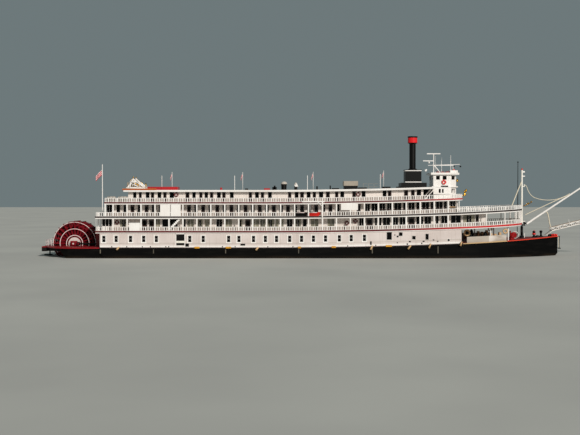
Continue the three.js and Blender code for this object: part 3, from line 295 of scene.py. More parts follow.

# %% [markdown]
# ## Paint that changes along the boat
# Some pieces wear more than one colour: a deck is red on top and black along its edge, and a wall is painted
# grey as high as a rail, which is painted shade behind the rail. A colour that steps at a height or a length
# needs no extra mesh. The height is measured from the deck, so the sheer has to be taken off first.

# %% Height above a deck, and colours that change in steps
def above_deck(tree, where, floor):
    """How high a point is above a deck, with its sheer taken off."""
    axes = add(tree, "ShaderNodeSeparateXYZ", {0: where}).outputs
    along = add(tree, "ShaderNodeMath", {0: axes["X"], 1: STATION}, operation="ADD").outputs[0]
    past = add(tree, "ShaderNodeMath", {0: along, 1: 0.0}, operation="MAXIMUM").outputs[0]
    square = add(tree, "ShaderNodeMath", {0: past, 1: 2.0}, operation="POWER").outputs[0]
    rise = add(tree, "ShaderNodeMath", {0: square, 1: SHEER_RATE}, operation="MULTIPLY").outputs[0]
    level = add(tree, "ShaderNodeMath", {0: axes["Z"], 1: floor}, operation="SUBTRACT").outputs[0]
    return axes["X"], add(tree, "ShaderNodeMath", {0: level, 1: rise}, operation="SUBTRACT").outputs[0]


def stepped(tree, value, first, steps):
    """A colour that changes where a value passes each step: the first one, then (value, colour) pairs."""
    colour = srgb(first)
    for level, code in steps:
        past = add(tree, "ShaderNodeMath", {0: value, 1: level}, operation="GREATER_THAN").outputs[0]
        colour = mixed(tree, past, colour, srgb(code))
    return colour


print("the galleries' nose is", round(sheer(3.905), 3), "m above their middle")

# %% Main deck paint
def main_deck_paint():
    """Red deck paint, black along the hull's edge, and white on the bulwarks above the deck."""
    made, tree, shader, where = start("main_deck_enamel", 0.55)
    x, height = above_deck(tree, where, MAIN)
    edge_colour = stepped(tree, x, "#14110f", [(2.80, "#c9a878"), (3.56, "#e03a1e")])
    normal = add(tree, "ShaderNodeNewGeometry").outputs["Normal"]
    up = add(tree, "ShaderNodeSeparateXYZ", {0: normal}).outputs["Z"]
    flat = add(tree, "ShaderNodeMath", {0: up, 1: 0.5}, operation="GREATER_THAN").outputs[0]
    plank = noise(tree, where, 0.05, stretch=(8, 1, 1), detail=4.0)
    deck = mixed(tree, plank, srgb("#8f2a22"), srgb("#6f1c18"))
    lip = add(tree, "ShaderNodeMath", {0: height, 1: -0.018}, operation="GREATER_THAN").outputs[0]
    low = mixed(tree, flat, mixed(tree, lip, srgb("#0c0b0b"), edge_colour), deck)
    raised = add(tree, "ShaderNodeMath", {0: height, 1: 0.004}, operation="GREATER_THAN").outputs[0]
    plates = stepped(tree, x, "#bdb2a6", [(3.24, "#f1e9e3")])
    boards = mixed(tree, noise(tree, where, 0.1, stretch=(4, 4, 1)), plates, srgb("#a99d90"))
    tree.links.new(mixed(tree, raised, low, boards), shader.inputs["Base Color"])
    emboss(tree, shader, noise(tree, where, 0.02, detail=4.0), 0.0006)
    return made


main_deck_enamel = main_deck_paint()
print("material:", main_deck_enamel.name)

# %% House paint
def house_paint():
    """Cream walls, painted grey as high as the rails: painted shade behind the rails."""
    made, tree, shader, where = start("cream_enamel_with_painted_shade_band", 0.45)
    height = above_deck(tree, where, 0.0)[1]
    # Painted shade: each wall is grey from just below its floor to 74 mm above it, where the rail shades it.
    bands = []
    for floor in (CABIN, TEXAS, SUN):
        bands += [(floor - 0.01, "#a0938b"), (floor + 0.074, "#e6dcd5")]
    colour = stepped(tree, height, "#e6dcd5", bands)
    streaks = noise(tree, where, 0.02, stretch=(1, 1, 14), detail=2.0, low=0.56, high=0.8)
    half = add(tree, "ShaderNodeMath", {0: streaks, 1: 0.4}, operation="MULTIPLY").outputs[0]
    tree.links.new(mixed(tree, half, colour, srgb("#a89a90")), shader.inputs["Base Color"])
    emboss(tree, shader, noise(tree, where, 0.012, detail=5.0), 0.0006)
    return made


house_wall_paint_with_painted_shade = house_paint()
print("material:", house_wall_paint_with_painted_shade.name)

# %% Stripe and landing stage paints
def stripe_paint():
    """Dark wine-red gloss, brighter red toward the bow."""
    made, tree, shader, where = start("stripe_red_gloss", 0.35, Coat_Weight=0.3, Coat_Roughness=0.2)
    x = add(tree, "ShaderNodeSeparateXYZ", {0: where}).outputs["X"]
    forward = add(tree, "ShaderNodeMapRange", {"Value": x, "From Min": 1.7, "From Max": 2.9}).outputs[0]
    aft = mixed(tree, noise(tree, where, 0.2), srgb("#66040c"), srgb("#52040a"))
    tree.links.new(mixed(tree, forward, aft, srgb("#c61a1c")), shader.inputs["Base Color"])
    return made


def stage_paint():
    """White truss sides, and a weathered brown floor between them."""
    made, tree, shader, where = start("landing_stage_enamel", 0.6)
    across = add(tree, "ShaderNodeSeparateXYZ", {0: where}).outputs["Y"]
    out = add(tree, "ShaderNodeMath", {0: across}, operation="ABSOLUTE").outputs[0]
    colour = stepped(tree, out, "#7d6a5a", [(0.0745, "#f1ece6")])
    worn = noise(tree, where, 0.05, low=0.5, high=0.8)
    tree.links.new(mixed(tree, worn, colour, srgb("#b9a48f")), shader.inputs["Base Color"])
    emboss(tree, shader, noise(tree, where, 0.01), 0.0006)
    return made


stripe_red, stage_enamel = stripe_paint(), stage_paint()
print("materials so far:", len(bpy.data.materials))

# %% [markdown]
# ## The hull's black paint
# Bitumen paint is nearly black and hardly shines. What makes it look real is the damage: pale scuffed
# stretches where the hull lies along a quay, which also stand in for a painted sheen, and mud near the
# waterline, each a noise of its own.

# %% Black hull paint
def hull_paint():
    """Bitumen black, scuffed grey along the quay side, which also serves as a painted sheen, and muddy brown
    near the water.
    """
    made, tree, shader, where = start("bitumen_black_on_plate", 0.6, Specular_IOR_Level=0.06)
    height = add(tree, "ShaderNodeSeparateXYZ", {0: where}).outputs["Z"]
    limits = {"Value": height, "From Min": WATERLINE + 0.05, "From Max": WATERLINE}
    damp = add(tree, "ShaderNodeMapRange", limits).outputs[0]
    scuff_and_sheen_streaks = noise(tree, where, 0.05, stretch=(6, 6, 1), low=0.5, high=0.8)
    # The pale grey streaks are partly scuff marks and partly a painted sheen on the black paint.
    scuff_and_sheen = add(tree, "ShaderNodeMath", {0: scuff_and_sheen_streaks, 1: 0.35}, operation="MULTIPLY").outputs[0]
    colour = mixed(tree, scuff_and_sheen, srgb("#060606"), srgb("#211f1c"))
    patches = noise(tree, where, 0.3, stretch=(2, 2, 0.4))
    mud = add(tree, "ShaderNodeMath", {0: damp, 1: patches}, operation="MULTIPLY").outputs[0]
    tree.links.new(mixed(tree, mud, colour, srgb("#2b2218")), shader.inputs["Base Color"])
    emboss(tree, shader, noise(tree, where, 0.06, stretch=(4, 4, 1)), 0.002)
    return made


hull_black = hull_paint()
print("hull paint:", hull_black.name)

# %% Banded paints, which change colour at a height
def banded(name, bands, roughness=0.4):
    """Paint that changes colour at heights: the first colour, then (height, colour) pairs going up."""
    made, tree, shader, where = start(name, roughness, Specular_IOR_Level=0.2)
    height = add(tree, "ShaderNodeSeparateXYZ", {0: where}).outputs["Z"]
    colour = stepped(tree, height, *bands)
    soot = noise(tree, where, 0.04, stretch=(1, 1, 8), low=0.5, high=0.8)
    dim = add(tree, "ShaderNodeMath", {0: soot, 1: 0.3}, operation="MULTIPLY").outputs[0]
    tree.links.new(mixed(tree, dim, colour, srgb("#120e0c")), shader.inputs["Base Color"])
    emboss(tree, shader, noise(tree, where, 0.02), 0.0006)
    return made


FUNNEL_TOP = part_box("funnel")[1].z
BAND_LOW, BAND_HIGH = FUNNEL_TOP - 0.112, FUNNEL_TOP - 0.024
GOOSENECK_Z = 0.754
funnel_paint = banded("funnel_stove_enamel", ("#060505", [(BAND_LOW, "#e8262a"), (BAND_HIGH, "#060505")]))
kingpost_paint = banded("kingpost_enamel", ("#17171a", [(GOOSENECK_Z - 0.004, "#f3efe6")]))
black = banded("black_enamel", ("#060606", []))
# The fantail's red is darkened as painted shade; below 0.366 m the edge is near black.
fantail_darkened_red_paint = banded("fantail_edge_red_darkened_as_shade", ("#151112", [(0.366, "#8c1119")]))
# The freight door is dark brown low down, white to 0.492 m, and near black above: painted shade for the dark
# hold behind an open doorway.
freight_door_shaded_paint = banded("freight_door_with_painted_dark_opening", ("#1e1b18", [(0.458, "#efeae0"), (0.492, "#0a0a0a")]))
reel_paint = banded("reel_enamel", ("#9c0f14", []))
print("funnel band from", round(BAND_LOW, 3), "to", round(BAND_HIGH, 3), "m")

# %% [markdown]
# ## The wheel's wood
# The bucket boards and arms are timber, painted deep red and always wet. Wet paint is darker and shinier,
# and the grain still shows through it, so the roughness is low and the bump runs along the boards.

# %% Wheel paint
def wheel_paint():
    """Dark red paint on wet timber, with random pale pink patches: partly wear, partly a painted sheen of wet
    wood.
    """
    made, tree, shader, where = start("wet_red_paint_on_timber", 0.4, Specular_IOR_Level=0.2)
    grain = noise(tree, where, 0.012, stretch=(1, 14, 1), detail=4.0)
    worn = noise(tree, where, 0.07, detail=4.0, low=0.5, high=0.75)
    colour = mixed(tree, grain, srgb("#8a0216"), srgb("#56020f"))
    # The pale pink patches are partly wear and partly a painted sheen of the wet boards.
    pale = add(tree, "ShaderNodeMath", {0: worn, 1: 0.2}, operation="MULTIPLY").outputs[0]
    tree.links.new(mixed(tree, pale, colour, srgb("#c04a58")), shader.inputs["Base Color"])
    emboss(tree, shader, grain, 0.001)
    return made


wheel_red = wheel_paint()
rim_pink = enamel("bleached_rim_enamel", "#f3e8e4", "#e2cccb", "#b08a8a", 0.4)
print("wheel paint:", wheel_red.name)

# %% [markdown]
# ## Small finishes
# Each is drawn from what it is made of. Varnish and the curtains behind glass get a clear coat, because their
# shine lies over the colour. Rope and curtain get a wave, because their ribs and folds repeat. Brass is the
# only bare metal.

# %% Varnish
def varnish():
    """Mahogany under marine varnish: long dark grain with a clear glossy coat."""
    made, tree, shader, where = start("varnished_mahogany", 0.35, Coat_Weight=0.6, Coat_Roughness=0.12)
    grain = noise(tree, where, 0.008, stretch=(1, 1, 12), detail=5.0)
    tree.links.new(mixed(tree, grain, srgb("#3c1a0e"), srgb("#200d07")), shader.inputs["Base Color"])
    emboss(tree, shader, grain, 0.0004)
    return made


mahogany = varnish()
print("material:", mahogany.name)

# %% Glass and curtains
def dark_glass():
    """Window glass with a dim cabin behind it, a little wavy so that its reflection breaks up."""
    made, tree, shader, where = start("window_glass_dark", 0.08, Specular_IOR_Level=0.1)
    room = noise(tree, where, 0.09, stretch=(1, 1, 2), low=0.4, high=0.7)
    tree.links.new(mixed(tree, room, srgb("#040404"), srgb("#0e0d0c")), shader.inputs["Base Color"])
    emboss(tree, shader, noise(tree, where, 0.05), 0.0008, 0.25)
    return made


def curtain():
    """Net curtains behind glass: pale folds 9 mm apart with painted shade in the creases between them, under
    a shiny coat.
    """
    made, tree, shader, where = start("net_curtain_behind_glass", 0.6, Coat_Weight=0.8, Coat_Roughness=0.05)
    fold = {"Vector": where, "Scale": 55.0, "Distortion": 1.2}
    wave = add(tree, "ShaderNodeTexWave", fold, bands_direction="X").outputs["Fac"]
    dim = noise(tree, where, 0.12, low=0.35, high=0.65)
    # Painted shade: the dark bands of the wave are the creases between the folds.
    pale = mixed(tree, wave, srgb("#77715f"), srgb("#aaa38d"))
    tree.links.new(mixed(tree, dim, pale, srgb("#4a493c")), shader.inputs["Base Color"])
    return made


glass_dark, curtained = dark_glass(), curtain()
print("materials:", glass_dark.name, "and", curtained.name)

# %% Rope, brass and machinery
def laid_rope():
    """Manila rope: three strands that wind round it, which show as slanting ribs with painted shade in the
    grooves.
    """
    made, tree, shader, where = start("laid_manila_rope", 0.85, Sheen_Weight=0.3)
    turned = add(tree, "ShaderNodeMapping", {"Vector": where, "Rotation": (0.0, 0.6, 0.0)}).outputs[0]
    strands = {"Vector": turned, "Scale": 40.0}
    wave = add(tree, "ShaderNodeTexWave", strands, bands_direction="X").outputs["Fac"]
    # Painted shade: the darker bands of the wave are the grooves between the strands.
    tree.links.new(mixed(tree, wave, srgb("#c4b698"), srgb("#f0e9d8")), shader.inputs["Base Color"])
    emboss(tree, shader, wave, 0.001)
    return made


def polished_brass():
    """Brass kept bright by hand, with cloudy tarnish in patches."""
    made, tree, shader, where = start("polished_brass", 0.28, metallic=1.0)
    cloudy = noise(tree, where, 0.02)
    tree.links.new(mixed(tree, cloudy, srgb("#d9a93f"), srgb("#9a6f26")), shader.inputs["Base Color"])
    return made


def machinery():
    """Grey machinery enamel over a rough casting."""
    made, tree, shader, where = start("machinery_grey_enamel", 0.5)
    oily = noise(tree, where, 0.08)
    tree.links.new(mixed(tree, oily, srgb("#565b5d"), srgb("#34383a")), shader.inputs["Base Color"])
    emboss(tree, shader, noise(tree, where, 0.008), 0.0006)
    return made


rope, brass, grey_enamel = laid_rope(), polished_brass(), machinery()
print("materials in all:", len(bpy.data.materials))

# %% Paint the frame's own pieces
PAINT = {
    "white_paint": white,
    "hull_black": hull_black,
    "deck_red": deck_red,
    "wheel_red": wheel_red,
    "orange_red": orange,
    "steel_black": black,
    "varnish": mahogany,
    "glass": glass_dark,
    "flag_cloth": orange,
    "rope_fibre": rope,
    "engine_grey": grey_enamel,
}
OWN_PAINT = {
    "funnel": funnel_paint,
    "kingpost": kingpost_paint,
    "main_deck": main_deck_enamel,
    "fantail": fantail_darkened_red_paint,
    "freight_door": freight_door_shaded_paint,
    "hose_reel": reel_paint,
    "capstans": black,
    "main_house_aft_wall": deck_red,
    "landing_stage": stage_enamel,
    "pitman_starboard": black,
    "pitman_port": black,
}
slot_of = {part["node"]: part["material_slot"] for part in frame["record"]["subparts"]}
HOUSES = ("cabin_house", "texas_house", "sun_house")
for name, node in frame["nodes"].items():
    node.data.materials.clear()
    paint = PAINT[slot_of[name]]
    if name.startswith("main_house"):
        paint = wall_white
    elif name.startswith(HOUSES):
        paint = house_wall_paint_with_painted_shade
    node.data.materials.append(OWN_PAINT.get(name, paint))
print("painted", len(slot_of), "pieces")

# %% [markdown]
# ## The slack line, first of all
# One rope on the boat hangs free: the heaving line from the kingpost down to the boom, 12 mm thick here.
# It is limp, so it drops from its pin and runs into the boom in one easy curve. The route is a list of
# points, rounded by a Catmull-Rom curve, and a curve with a bevel turns it into a tube.
# It is baked in place and tied to no body.

# %% A smooth route, and a tube along it
def rounded(points, steps=5):
    """Points along a smooth curve through a few given ones."""
    points = [Vector(p) for p in points]
    ends = [2 * points[0] - points[1], *points, 2 * points[-1] - points[-2]]
    smooth = []
    for a, b, c, d in zip(ends, ends[1:], ends[2:], ends[3:]):
        for t in (i / steps for i in range(steps)):
            pull = 2 * b + (c - a) * t + (2 * a - 5 * b + 4 * c - d) * t**2 + (3 * b - a - 3 * c + d) * t**3
            smooth.append(pull / 2)
    return [*smooth, points[-1]]


def tube(name, points, radius, material, sides=2):
    """A mesh tube along points, made from a bevelled curve."""
    curve = bpy.data.curves.new(name, "CURVE")
    curve.dimensions = "3D"
    curve.bevel_depth = radius
    curve.bevel_resolution = sides
    curve.use_fill_caps = True
    spline = curve.splines.new("POLY")
    spline.points.add(len(points) - 1)
    for point, place in zip(spline.points, points):
        point.co = (*place, 1)
    holder = bpy.data.objects.new(name, curve)
    mesh = bpy.data.meshes.new_from_object(holder)
    bpy.data.objects.remove(holder)
    bpy.data.curves.remove(curve)
    mesh.name = name
    mesh.materials.clear()
    mesh.materials.append(material)
    for face in mesh.polygons:
        face.use_smooth = True
    obj = bpy.data.objects.new(name, mesh)
    bpy.context.collection.objects.link(obj)
    print(name, len(mesh.polygons), "faces")
    return obj


corner = rounded([(0, 0, 0), (1, 0, 0), (1, 1, 0)])
print("a corner of three points is rounded to", len(corner))

# %% Slack line
LINE_RADIUS = 0.006
LINE_POINTS = (
    (3.9976, 0, 1.404), (4.009, 0, 1.403), (4.028, 0, 1.378), (4.052, -0.002, 1.316),
    (4.092, -0.005, 1.248), (4.146, -0.010, 1.200), (4.230, -0.020, 1.168), (4.360, -0.028, 1.150),
    (4.500, -0.028, 1.158), (4.604, -0.028, 1.186), (4.697, -0.028, 1.225), (4.755, -0.028, 1.260),
)
line_path = rounded(LINE_POINTS)
slack = tube("slack_rope", line_path, LINE_RADIUS, rope)
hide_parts("slack_line")
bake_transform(slack)

# %% [markdown]
# ## The decks' outlines
# A deck's edge is one path, and its rail, stripe and stanchions all follow it.

# %% Plan outlines of the decks, as [x, half width]
def gallery_outline():
    """The cabin and texas decks: straight sides, then a rounded nose over the foredeck."""
    start, end = 2.760, 3.905
    steps = [0, 0.22, 0.43, 0.62, 0.78, 0.9, 0.97]
    angles = [t * math.pi / 2 for t in steps]
    reach = end - start
    nose = [(start + reach * math.sin(a) ** 0.9, HALF_BEAM * math.cos(a) ** 0.72) for a in angles]
    return [(-3.145, HALF_BEAM), *nose, (end, nose[-1][1] * 0.82)]


GALLERY = gallery_outline()
SUN_EDGE = [(-3.0, HALF_BEAM), (2.62, HALF_BEAM), (2.76, 0.8), (2.825, 0.65), (2.86, 0.4), (2.87, 0.2)]

print("the galleries' outline has", len(GALLERY), "corners a side")

# %% Following a deck's edge
def edge(outline, side, inset=0.0):
    """A path along a deck's edge: stern's middle, corner, side, nose, and the middle of the bow."""
    back = outline[1][0]
    corners = [(outline[0][0] + inset, 0.0)]
    for x, half in outline:
        shift = inset if x < back else (-inset if x > back else 0.0)
        corners.append((x + shift, half - inset))
    corners.append((corners[-1][0], 0.0))
    points = []
    for (x0, y0), (x1, y1) in zip(corners, corners[1:]):
        cuts = [s for s in STATIONS if x0 + 0.01 < s < x1 - 0.01]
        points += [(x0, y0)] + [(s, y0 + (y1 - y0) * (s - x0) / (x1 - x0)) for s in cuts]
    points.append(corners[-1])
    return [Vector((x, side * y, 0)) for x, y in points]


def walk(path, step, first=0.0):
    """Places along a path, step apart: each a point and the direction there."""
    places, left = [], first
    for a, b in zip(path, path[1:]):
        run = (b - a).length
        while left <= run:
            places.append((a.lerp(b, left / run), (b - a) / run))
            left += step
        left -= run
    return places


def ribbon(bm, path, floor, low, high, thick):
    """A strip on edge along a path, from low to high above the deck."""
    verts = [bm.verts.new((p.x, p.y, floor + sheer(p.x) + low)) for p in path]
    edges = [bm.edges.new(pair) for pair in zip(verts, verts[1:])]
    raised = bmesh.ops.extrude_edge_only(bm, edges=edges)["geom"]
    top = [item for item in raised if isinstance(item, bmesh.types.BMVert)]
    faces = [item for item in raised if isinstance(item, bmesh.types.BMFace)]
    bmesh.ops.translate(bm, vec=(0, 0, high - low), verts=top)
    shell = bmesh.ops.solidify(bm, geom=faces, thickness=thick)["geom"]
    walls = {f for item in shell if isinstance(item, bmesh.types.BMFace) for f in (item, *faces)}
    rims = {f for face in walls for e in face.edges for f in e.link_faces}
    bmesh.ops.recalc_face_normals(bm, faces=list(walls | rims))


def picket(bm, place, floor, size, low, high):
    """An upright square bar on a deck, turned to face along the edge."""
    point, along = place
    z = floor + sheer(point.x)
    turn = Matrix.Rotation(math.atan2(along.y, along.x), 4, "Z")
    centre = Matrix.Translation((point.x, point.y, z + (low + high) / 2))
    bmesh.ops.create_cube(bm, size=1, matrix=centre @ turn @ Matrix.Diagonal((*size, high - low, 1)))


print("one side of the sun deck's edge has", len(edge(SUN_EDGE, 1)), "points")

# %% [markdown]
# ## Rails
# Each gallery has a wooden cap rail on posts, which the frame brings. Between the posts are slim
# stanchions and flat balusters. They are made as real bars, so that light and shadow fall through them in
# every view. One bar is a cube stretched in place, and walk() says where each one stands.

# %% Stanchions, balusters and bottom rails
RAIL_INSET = 0.008
LAUNCH_GAP = (POST_AT + 0.002, POST_AT + 2 * BAY - 0.002)
for tier, outline, floor in (("cabin", GALLERY, CABIN), ("texas", GALLERY, TEXAS), ("sun", SUN_EDGE, SUN)):
    for word, side in SIDES.items():
        path = edge(outline, side, RAIL_INSET)
        opened = tier == "texas" and side < 0
        bars, stanchions = bmesh.new(), bmesh.new()
        to_post = path[1].y * side + POST_AT - path[1].x
        for place in walk(path, BAY / 6, to_post % (BAY / 6)):
            if not (opened and LAUNCH_GAP[0] < place[0].x < LAUNCH_GAP[1] and place[0].y < -0.8):
                picket(bars, place, floor, (0.009, 0.004), 0.012, RAIL - 0.008)
        for place in walk(path, BAY / 3, to_post % (BAY / 3)):
            if not (opened and LAUNCH_GAP[0] < place[0].x < LAUNCH_GAP[1] and place[0].y < -0.8):
                picket(stanchions, place, floor, (0.015, 0.011), 0.0, RAIL - 0.006)
        aft = [p for p in path if not opened or p.x < LAUNCH_GAP[0]]
        forward = [p for p in path if opened and p.x > LAUNCH_GAP[1]]
        if opened:
            aft.append(Vector((LAUNCH_GAP[0], aft[-1].y, 0)))
            forward.insert(0, Vector((LAUNCH_GAP[1], aft[-1].y, 0)))
            ribbon(stanchions, forward, floor, 0.010, 0.016, 0.004)
        ribbon(stanchions, aft, floor, 0.010, 0.016, 0.004)
        piece(f"{tier}_balusters_{word}", bars, white)
        piece(f"{tier}_stanchions_{word}", stanchions, white)

# %% Post casings, and a pillar under the sun deck's aft corner
for tier, floor, ceiling in (("cabin", CABIN, TEXAS - SLAB), ("texas", TEXAS, SUN - SLAB)):
    bm = bmesh.new()
    for side in SIDES.values():
        y = side * (HALF_BEAM - RAIL_INSET)
        for x in [POST_AT + BAY * k for k in range(-13, 12)] + ([-2.985] if tier == "texas" else []):
            rise = sheer(x)
            block(bm, (x - 0.0105, y - 0.008, floor + rise), (x + 0.0105, y + 0.008, ceiling + rise))
    piece(f"{tier}_post_casings", bm, white)

# %% [markdown]
# ## Stripes on the deck edges
# The edge of each deck is a white fascia board with a painted stripe along its top; on the texas deck the
# dark line is a painted shadow, the gap under the rail. A stripe in a material would need its own coordinate
# along the sheer. A thin strip of its own follows the sheer for free and catches the light as a real moulding
# does.

# %% Deck stripes
STRIPE_PROUD = 0.0015
STRIPES = (
    # deck, outline, floor, bottom and top of the stripe below the deck's top, paint
    ("cabin", GALLERY, CABIN, -0.018, 0.009, stripe_red),
    # The texas line is a painted shadow, the gap between the rail's foot and the fascia.
    ("texas", GALLERY, TEXAS, -0.014, 0.010, painted_shadow_brown),
    ("sun", SUN_EDGE, SUN, -0.014, 0.008, stripe_red),
)
for deck, outline, floor, low, high, paint in STRIPES:
    bm = bmesh.new()
    for side in SIDES.values():
        ribbon(bm, edge(outline, side, -STRIPE_PROUD), floor, low, high, 0.003)
    piece(f"{deck}_deck_stripe", bm, paint)

# %% [markdown]
# ## Windows and doors
# A steamer's side is a long row of openings, and no two tiers have the same ones. The main deck has small
# two-pane windows in heavy white frames, the cabin deck has curtained ones, and the upper decks have a
# door and a window for each stateroom. Each opening is a cube whose outer face is inset and pushed
# back in: that leaves a frame that stands proud and a bed for the pane.

# %% One opening in a side wall
def opening(frames, panes, side, wall, x, width, bottom, top, border=0.010, proud=0.006):
    """A frame that stands proud of a wall, and the pane in it."""
    low = (x - width / 2 - border, side * (wall - 0.002), bottom - border)
    high = (x + width / 2 + border, side * (wall + proud), top + border)
    verts = block(frames, low, high)
    outer = max({f for v in verts for f in v.link_faces}, key=lambda f: side * f.calc_center_median().y)
    bmesh.ops.inset_individual(frames, faces=[outer], thickness=border)
    bmesh.ops.translate(frames, vec=(0, -side * (proud - 0.001), 0), verts=outer.verts)
    block(panes, (x - width / 2, side * wall, bottom), (x + width / 2, side * (wall + 0.0025), top))


def bar_across(frames, side, wall, x, width, z, thick=0.004, proud=0.005):
    """A flat glazing bar across a pane."""
    low = (x - width / 2, side * wall, z - thick / 2)
    high = (x + width / 2, side * (wall + proud), z + thick / 2)
    block(frames, low, high)


print("side walls at", [round(y, 3) for y in (MAIN_WALL, CABIN_WALL, TEXAS_WALL, SUN_WALL)])

# %% Main deck windows
FREIGHT_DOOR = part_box("freight_door")
MAIN_WINDOWS = [-3010, -2811, -2579, -2366, -2161, -1621, -1403, -992, -826, -590]
MAIN_WINDOWS += [-398, -218, -6, 187, 379, 574, 798, 990, 1203]
MAIN_SILL, MAIN_HEAD, MAIN_PANE = 0.088, 0.189, 0.050
MAIN_ODD = (
    # x, width, bottom and top above the deck
    (1605, 79, 100, 221),
    (1790, 56, 156, 213),
    (2003, 53, 93, 149),
    (2216, 48, 82, 175),
)
PORTHOLE_X, PORTHOLE_UP = 2.565, 0.063
PORTHOLE_GLASS = [(0, 0.001), (0.018, 0.001), (0.018, -0.002), (0, -0.002)]
for word, side in SIDES.items():
    frames, panes = bmesh.new(), bmesh.new()
    for x in (MM * mm for mm in MAIN_WINDOWS):
        z = MAIN + sheer(x)
        opening(frames, panes, side, MAIN_WALL, x, MAIN_PANE, z + MAIN_SILL, z + MAIN_HEAD, 0.018)
        bar_across(frames, side, MAIN_WALL, x, MAIN_PANE, z + (MAIN_SILL + MAIN_HEAD) / 2, 0.003)
    for x, width, low, high in ([MM * v for v in row] for row in MAIN_ODD):
        z = MAIN + sheer(x)
        opening(frames, panes, side, MAIN_WALL, x, width, z + low, z + high, 0.005)
    z = MAIN + sheer(PORTHOLE_X) + PORTHOLE_UP
    ring(frames, (PORTHOLE_X, side * MAIN_WALL, z), 0.020, 0.004)
    spun(panes, PORTHOLE_GLASS, (PORTHOLE_X, side * (MAIN_WALL + 0.002), z), (0, 1, 0))
    piece(f"main_window_frames_{word}", frames, white)
    piece(f"main_window_panes_{word}", panes, glass_dark)

# %% Foot strip, plate line and scuppers
SCUPPERS = (-2.881, -2.639, -2.387, -2.258, -2.007, -1.960, -1.094, -0.887, -0.358, 0.048, 0.932, 1.387)
door_low, door_high = FREIGHT_DOOR
WALL_MARKS = (
    # X, z, width, height
    (-1.663, 0.423, 0.058, 0.050), (-0.762, 0.430, 0.075, 0.030), (1.308, 0.456, 0.024, 0.056),
    (1.696, 0.587, 0.016, 0.016), (1.740, 0.563, 0.028, 0.026), (1.736, 0.462, 0.016, 0.014),
    (1.897, 0.440, 0.022, 0.022), (1.938, 0.482, 0.030, 0.020), (2.130, 0.452, 0.020, 0.022),
    (2.160, 0.486, 0.030, 0.020), (2.321, 0.507, 0.024, 0.016), (2.390, 0.483, 0.016, 0.016),
)
WALL_PATH = [-3.073, *(s for s in STATIONS if -3.0 < s < 2.7), 2.774]
strip, line, dark = bmesh.new(), bmesh.new(), bmesh.new()
for side in SIDES.values():
    path = [Vector((x, side * (MAIN_WALL + 0.0015), 0)) for x in WALL_PATH]
    ribbon(strip, path, MAIN, 0.004, 0.032, 0.002)
    runs = [path]
    if side < 0:
        cut = [Vector((x, path[0].y, 0)) for x in (door_low.x - 0.016, door_high.x + 0.016)]
        runs = [[p for p in path if p.x < cut[0].x] + cut[:1], cut[1:] + [p for p in path if p.x > cut[1].x]]
    for run in runs:
        ribbon(line, run, MAIN, 0.066, 0.072, 0.002)
    # Each scupper is a black block on the wall: painted shade for its dark hole.
    for x in SCUPPERS:
        z = MAIN + sheer(x)
        low = (x - 0.007, side * MAIN_WALL, z + 0.004)
        block(dark, low, (x + 0.007, side * (MAIN_WALL + 0.005), z + 0.024))
    for x, z, width, high in WALL_MARKS:
        low = (x - width / 2, side * MAIN_WALL, z - high / 2)
        block(dark, low, (x + width / 2, side * (MAIN_WALL + 0.006), z + high / 2))
for low, high in (
    ((door_low.x - 0.014, 0.414), (door_low.x - 0.003, 0.610)),
    ((door_high.x + 0.003, 0.414), (door_high.x + 0.014, 0.610)),
    ((door_low.x - 0.014, 0.599), (door_high.x + 0.014, 0.610)),
):
    block(strip, (low[0], -MAIN_WALL - 0.006, low[1]), (high[0], -MAIN_WALL, high[1]))
piece("foot_strips", strip, white)
piece("plate_lines", line, rail_grey)
piece("scuppers", dark, black)

# %% Marks, fenders and bars along the hull
YELLOW_MARKS = ((-1.542, -1.461), (-1.039, -0.952), (0.129, 0.177), (0.673, 0.742), (1.548, 1.645))
FENDERS = (
    # X and z of the top, X and z of the foot
    (-2.760, 0.394, -2.812, 0.333), (-0.511, 0.390, -0.564, 0.330), (1.332, 0.416, 1.290, 0.330),
    (1.952, 0.420, 1.890, 0.340), (2.275, 0.450, 2.231, 0.350), (2.774, 0.480, 2.742, 0.390),
)
HULL_BARS = (-3.065, -2.206, -1.040, 0.140, 1.330, 2.392)
marks, fenders, bars = bmesh.new(), bmesh.new(), bmesh.new()
for side in SIDES.values():
    for x0, x1 in YELLOW_MARKS:
        z = MAIN + sheer((x0 + x1) / 2)
        block(marks, (x0, side * 0.889, z - 0.014), (x1, side * 0.894, z + 0.014))
    for x0, z0, x1, z1 in FENDERS:
        foot = Vector((x0, side * 0.902, z0)).lerp((x1, side * 0.904, z1), 0.75)
        rod(fenders, (x0, side * 0.902, z0), foot, 0.012, 0.016)
    for x in HULL_BARS:
        block(bars, (x - 0.007, side * 0.880, 0.290), (x + 0.007, side * 0.8885, 0.352 + sheer(x)))
piece("yellow_marks", marks, yellow)
piece("rope_fenders", fenders, tan, smooth=True)
scuffed = enamel("scuffed_rubbing_bar", "#6d6658", "#4c463b", "#1f1b16", 0.7)
piece("hull_rubbing_bars", bars, scuffed)

# %% Cabin deck openings
CABIN_SILL, CABIN_HEAD = 0.062, 0.194
CABIN_CURTAINED = (
    # x, width
    (-2716, 124), (-2161, 74), (-1626, 103), (-1472, 88), (-1356, 74), (-1002, 108), (-812, 65),
    (-564, 114), (-446, 80), (-315, 108), (-208, 42), (-131, 51), (127, 105), (402, 119), (670, 109),
    (2925, 190),
)
CABIN_DARK = (
    (-1961, 250), (-1732, 51), (-1155, 90), (-5, 88), (242, 60), (1170, 72), (1405, 33), (1471, 44),
    (1577, 114), (1724, 82), (1840, 87), (2092, 49), (2157, 38), (2252, 105), (2405, 41), (2523, 95),
    (2711, 160),
)
CABIN_DOORS = ((-2377, 82), (-2263, 82), (-688, 90), (1297, 105), (1985, 108), (3060, 52))
print("cabin openings a side:", len(CABIN_CURTAINED) + len(CABIN_DARK) + len(CABIN_DOORS))

# %% Making the openings of a tier
DOOR_SILL = 0.006


